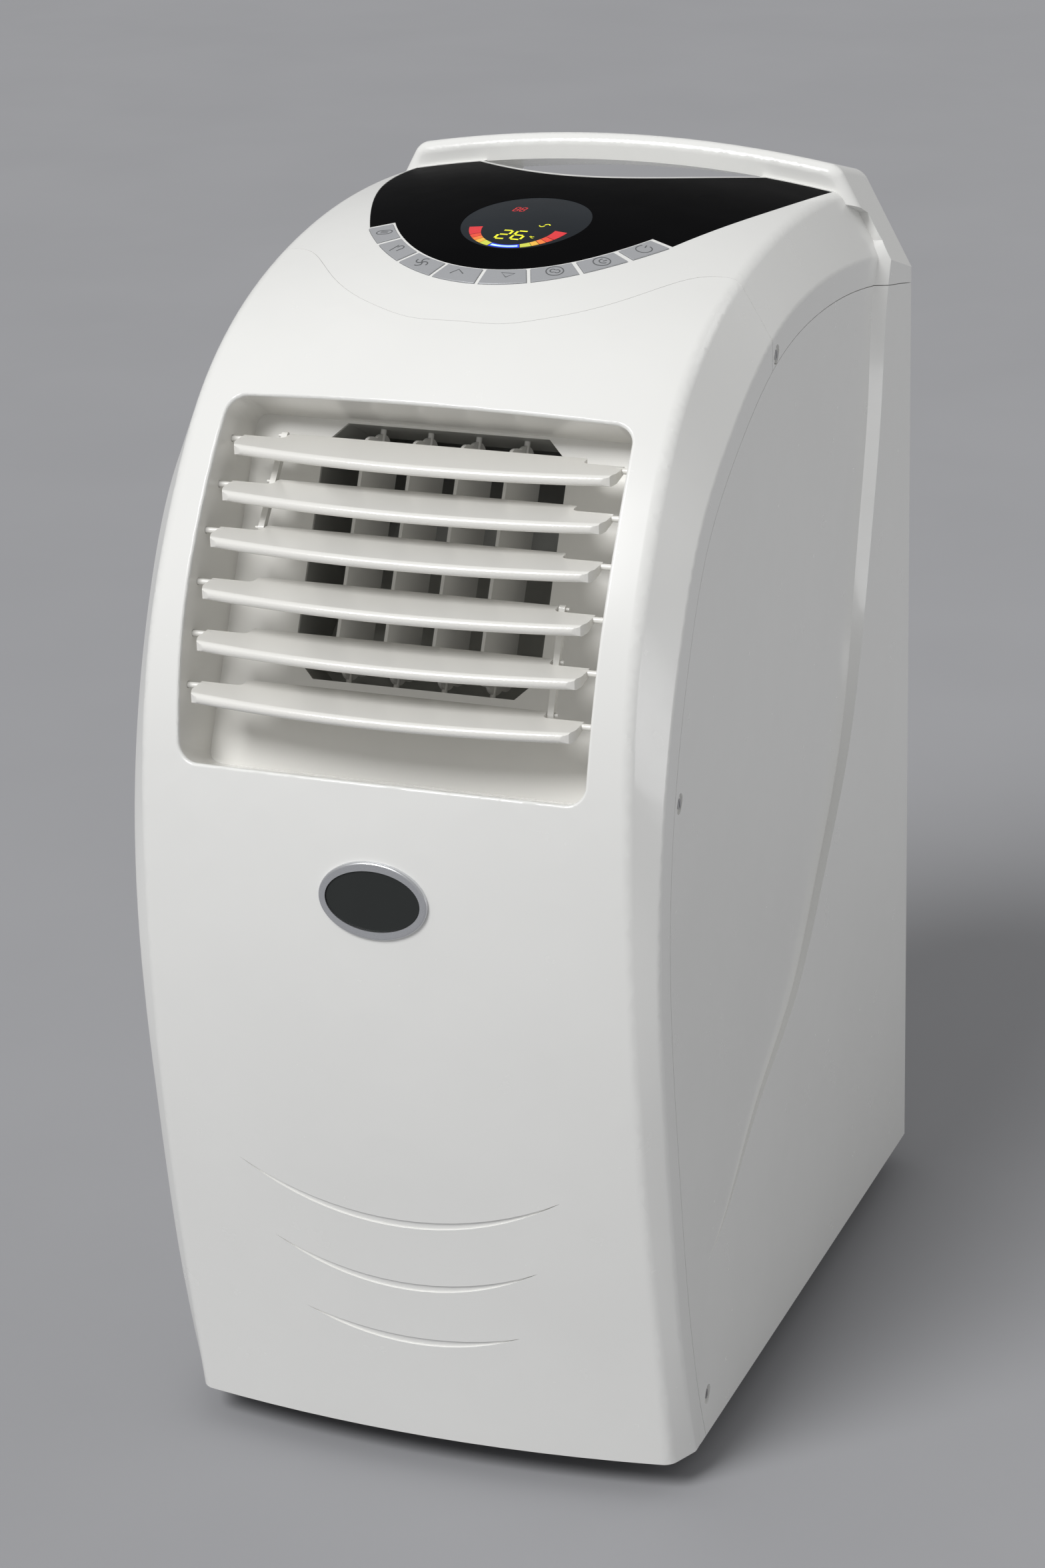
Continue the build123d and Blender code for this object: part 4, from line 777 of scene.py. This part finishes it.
# ---------------------------------------------------------------- rear and base
@dataclass
class RearSide:
    """Filter threads made by one node tree, and the plain rear finishes."""

    pitch: float = 0.0045
    thread: float = 0.0005

    def tree(self) -> bpy.types.NodeTree:
        """Node group that lays threads both ways over a rectangle.

        Returns:
            The node group.
        """
        group = bpy.data.node_groups.new("filter_threads", "GeometryNodeTree")
        interface = group.interface
        interface.new_socket("Geometry", in_out="OUTPUT", socket_type="NodeSocketGeometry")
        interface.new_socket("Geometry", in_out="INPUT", socket_type="NodeSocketGeometry")
        for name in ("Width", "Height", "Pitch", "Thread"):
            interface.new_socket(name, in_out="INPUT", socket_type="NodeSocketFloat")
        interface.new_socket("Material", in_out="INPUT", socket_type="NodeSocketMaterial")
        nodes, links = group.nodes, group.links
        start = nodes.new("NodeGroupInput")
        end = nodes.new("NodeGroupOutput")
        joined = nodes.new("GeometryNodeJoinGeometry")

        def formula(operation: str, first: object, second: object) -> bpy.types.NodeSocket:
            """Math node of two sockets or numbers."""
            node = nodes.new("ShaderNodeMath")
            node.operation = operation
            for socket, value in zip(node.inputs, (first, second)):
                if isinstance(value, bpy.types.NodeSocket):
                    links.new(value, socket)
                else:
                    socket.default_value = value
            return node.outputs[0]

        for along, across, axis in (("Width", "Height", 2), ("Height", "Width", 0)):
            bar = nodes.new("GeometryNodeMeshCube")
            size = nodes.new("ShaderNodeCombineXYZ")
            links.new(start.outputs[along], size.inputs[2 - axis])
            links.new(start.outputs["Thread"], size.inputs[axis])
            links.new(start.outputs["Thread"], size.inputs[1])
            links.new(size.outputs[0], bar.inputs["Size"])
            count = formula("FLOOR", formula("DIVIDE", start.outputs[across], start.outputs["Pitch"]), 0.0)
            row = nodes.new("GeometryNodeMeshLine")
            row.mode = "OFFSET"
            links.new(count, row.inputs["Count"])
            step = nodes.new("ShaderNodeCombineXYZ")
            links.new(start.outputs["Pitch"], step.inputs[axis])
            links.new(step.outputs[0], row.inputs["Offset"])
            first = nodes.new("ShaderNodeCombineXYZ")
            half = formula("MULTIPLY", formula("MULTIPLY", formula("SUBTRACT", count, 1.0), start.outputs["Pitch"]),
                           -0.5)
            links.new(half, first.inputs[axis])
            links.new(first.outputs[0], row.inputs["Start Location"])
            spread = nodes.new("GeometryNodeInstanceOnPoints")
            links.new(row.outputs["Mesh"], spread.inputs["Points"])
            links.new(bar.outputs["Mesh"], spread.inputs["Instance"])
            links.new(spread.outputs["Instances"], joined.inputs["Geometry"])
        real = nodes.new("GeometryNodeRealizeInstances")
        paint = nodes.new("GeometryNodeSetMaterial")
        links.new(joined.outputs["Geometry"], real.inputs["Geometry"])
        links.new(real.outputs["Geometry"], paint.inputs["Geometry"])
        links.new(start.outputs["Material"], paint.inputs["Material"])
        links.new(paint.outputs["Geometry"], end.inputs["Geometry"])
        return group

    def build(self) -> int:
        """Make the filter's threads and dress the rear.

        Returns:
            The number of pieces made.
        """
        low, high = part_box("filter_mesh")
        values = {"Width": high.x - low.x, "Height": high.z - low.z, "Pitch": self.pitch, "Thread": self.thread,
                  "Material": Finish.THREADS.material()}
        piece = from_tree("filter_threads", self.tree(), values, (low + high) / 2)
        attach(piece, "filter")
        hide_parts("filter_mesh")
        for node, crease in (("rear_panel", 30.0), ("filter_cassette", 30.0), ("exhaust_collar", 40.0)):
            smooth_copy(node, NODE_FINISH[node], crease)
        return 4


def from_tree(name: str, group: bpy.types.NodeTree, values: dict[str, object], centre: Vector) -> bpy.types.Object:
    """Plain mesh piece from a node tree.

    Args:
        name: name of the piece.
        group: geometry node group.
        values: inputs of the group by name.
        centre: where the result's origin goes.

    Returns:
        The piece, its place in its mesh.
    """
    maker = link(name + "_maker", bpy.data.meshes.new(name + "_seed"))
    modifier = maker.modifiers.new("nodes", "NODES")
    modifier.node_group = group
    for item in group.interface.items_tree:
        if item.item_type == "SOCKET" and item.in_out == "INPUT" and item.name in values:
            modifier[item.identifier] = values[item.name]
    graph = bpy.context.evaluated_depsgraph_get()
    data = bpy.data.meshes.new_from_object(maker.evaluated_get(graph))
    bpy.data.objects.remove(maker)
    data.transform(Matrix.Translation(centre))
    data.name = name + "_form"
    return link(name, data)


@dataclass
class Castors:
    """Swivel forks and wheels."""

    places: tuple[str, ...] = ("front_left", "front_right", "rear_left", "rear_right")

    def build(self) -> int:
        """Dress the castors.

        Returns:
            The number of pieces made.
        """
        for place in self.places:
            smooth_copy(f"castor_fork_{place}", Finish.CASTOR, 35.0)
            smooth_copy(f"castor_wheel_{place}", Finish.WHEEL, 35.0)
        return 2 * len(self.places)


@dataclass
class InnerMachine:
    """Everything behind the mouldings."""

    def build(self) -> int:
        """Dress every node that has no piece of its own.

        Returns:
            The number of nodes dressed.
        """
        plain = [node for node, item in frame["nodes"].items() if not item.hide_render]
        for node in plain:
            dress(node, NODE_FINISH[node])
        return len(plain)


# ---------------------------------------------------------------- studio
@dataclass
class Studio:
    """Pale floor and backdrop, soft lamps and the camera."""

    eye: tuple[float, float, float] = (0.8741, -2.3932, 1.4453)
    right: tuple[float, float, float] = (0.94107, 0.33741, -0.02319)
    up: tuple[float, float, float] = (-0.10625, 0.36005, 0.92686)
    back: tuple[float, float, float] = (0.32108, -0.86978, 0.37468)
    lens: float = 88.45
    floor_half: float = 6.0
    sky_strength: float = 0.42

    def camera(self) -> None:
        """Set up the camera."""
        data = bpy.data.cameras.new("camera")
        data.sensor_width = 36.0
        data.lens = self.lens
        data.clip_end = 50.0
        eye = bpy.data.objects.new("camera", data)
        rows = Matrix((self.right, self.up, self.back)).transposed().to_4x4()
        eye.matrix_world = Matrix.Translation(self.eye) @ rows
        bpy.context.scene.collection.objects.link(eye)
        bpy.context.scene.camera = eye

    def lamp(self, name: str, place: Vector, aim: Vector, size: float, power: float) -> None:
        """Add one soft square lamp.

        Args:
            name: name of the lamp.
            place: where it hangs.
            aim: the point that it faces.
            size: side of the square in metres.
            power: watts.
        """
        data = bpy.data.lights.new(name, "AREA")
        data.shape = "SQUARE"
        data.size = size
        data.energy = power
        self.hang(name, data, place, aim)

    def sun(self, name: str, source: Vector, spread_deg: float, strength: float) -> None:
        """Add one soft distant lamp.

        Args:
            name: name of the lamp.
            source: direction that its light comes from.
            spread_deg: angle that it fills in the sky.
            strength: watts per square metre.
        """
        data = bpy.data.lights.new(name, "SUN")
        data.angle = math.radians(spread_deg)
        data.energy = strength
        self.hang(name, data, source, Vector((0.0, 0.0, 0.0)))

    @staticmethod
    def hang(name: str, data: bpy.types.Light, place: Vector, aim: Vector) -> None:
        """Put a lamp in its place, facing the aim."""
        lamp = bpy.data.objects.new(name, data)
        lamp.location = place
        lamp.rotation_euler = (aim - place).to_track_quat("-Z", "Y").to_euler()
        bpy.context.scene.collection.objects.link(lamp)

    def floor(self) -> None:
        """Pale floor that keeps the shadow."""
        mesh = bmesh.new()
        bmesh.ops.create_grid(mesh, x_segments=1, y_segments=1, size=self.floor_half)
        data = bpy.data.meshes.new("floor_form")
        mesh.to_mesh(data)
        mesh.free()
        floor = link("floor", data)
        sheet = Sheet("floor_pale_grey")
        shader = sheet.surface({"Roughness": 0.75, "Specular IOR Level": 0.2})
        grain = sheet.noise(sheet.place(), 3.0)
        sheet.join(sheet.tint(grain, (0.335, 0.337, 0.352), (0.345, 0.347, 0.362)), shader.inputs["Base Color"])
        data.materials.append(sheet.material)

    def world(self) -> None:
        """Even grey light from all round."""
        world = bpy.data.worlds.new("studio")
        world.use_nodes = True
        sky = world.node_tree.nodes["Background"]
        sky.inputs["Color"].default_value = (0.98, 0.98, 0.98, 1.0)
        sky.inputs["Strength"].default_value = self.sky_strength
        bpy.context.scene.world = world

    def build(self) -> None:
        """Set up the whole studio."""
        centre = Vector((0.0, 0.0, 0.45))
        self.camera()
        self.floor()
        self.world()
        self.sun("key", Vector((-0.25, -0.62, 0.74)), spread_deg=24.0, strength=2.2)
        self.lamp("rim", Vector((1.6, 1.6, 2.2)), centre, size=0.9, power=2.5)
        self.lamp("glint", Vector((2.6, 0.1, 0.34)), centre, size=0.6, power=4.5)
        bpy.context.scene.view_settings.view_transform = "Standard"


def main() -> None:
    """Build every sub-assembly in order, then the studio, and log the number of pieces of each."""
    logging.basicConfig(level=logging.INFO, format="%(message)s")
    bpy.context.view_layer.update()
    assemblies: list[tuple[str, Callable[[], int]]] = [
        ("case shell", CaseShell().build), ("badge", Badge().build), ("louvres", Louvres().build),
        ("keys", Keys().build), ("display", Display().build), ("rear side", RearSide().build),
        ("castors", Castors().build), ("inner machine", InnerMachine().build),
    ]
    for title, build in assemblies:
        LOG.info("%s: %d pieces", title, build())
    Studio().build()


if __name__ == "__main__":
    main()
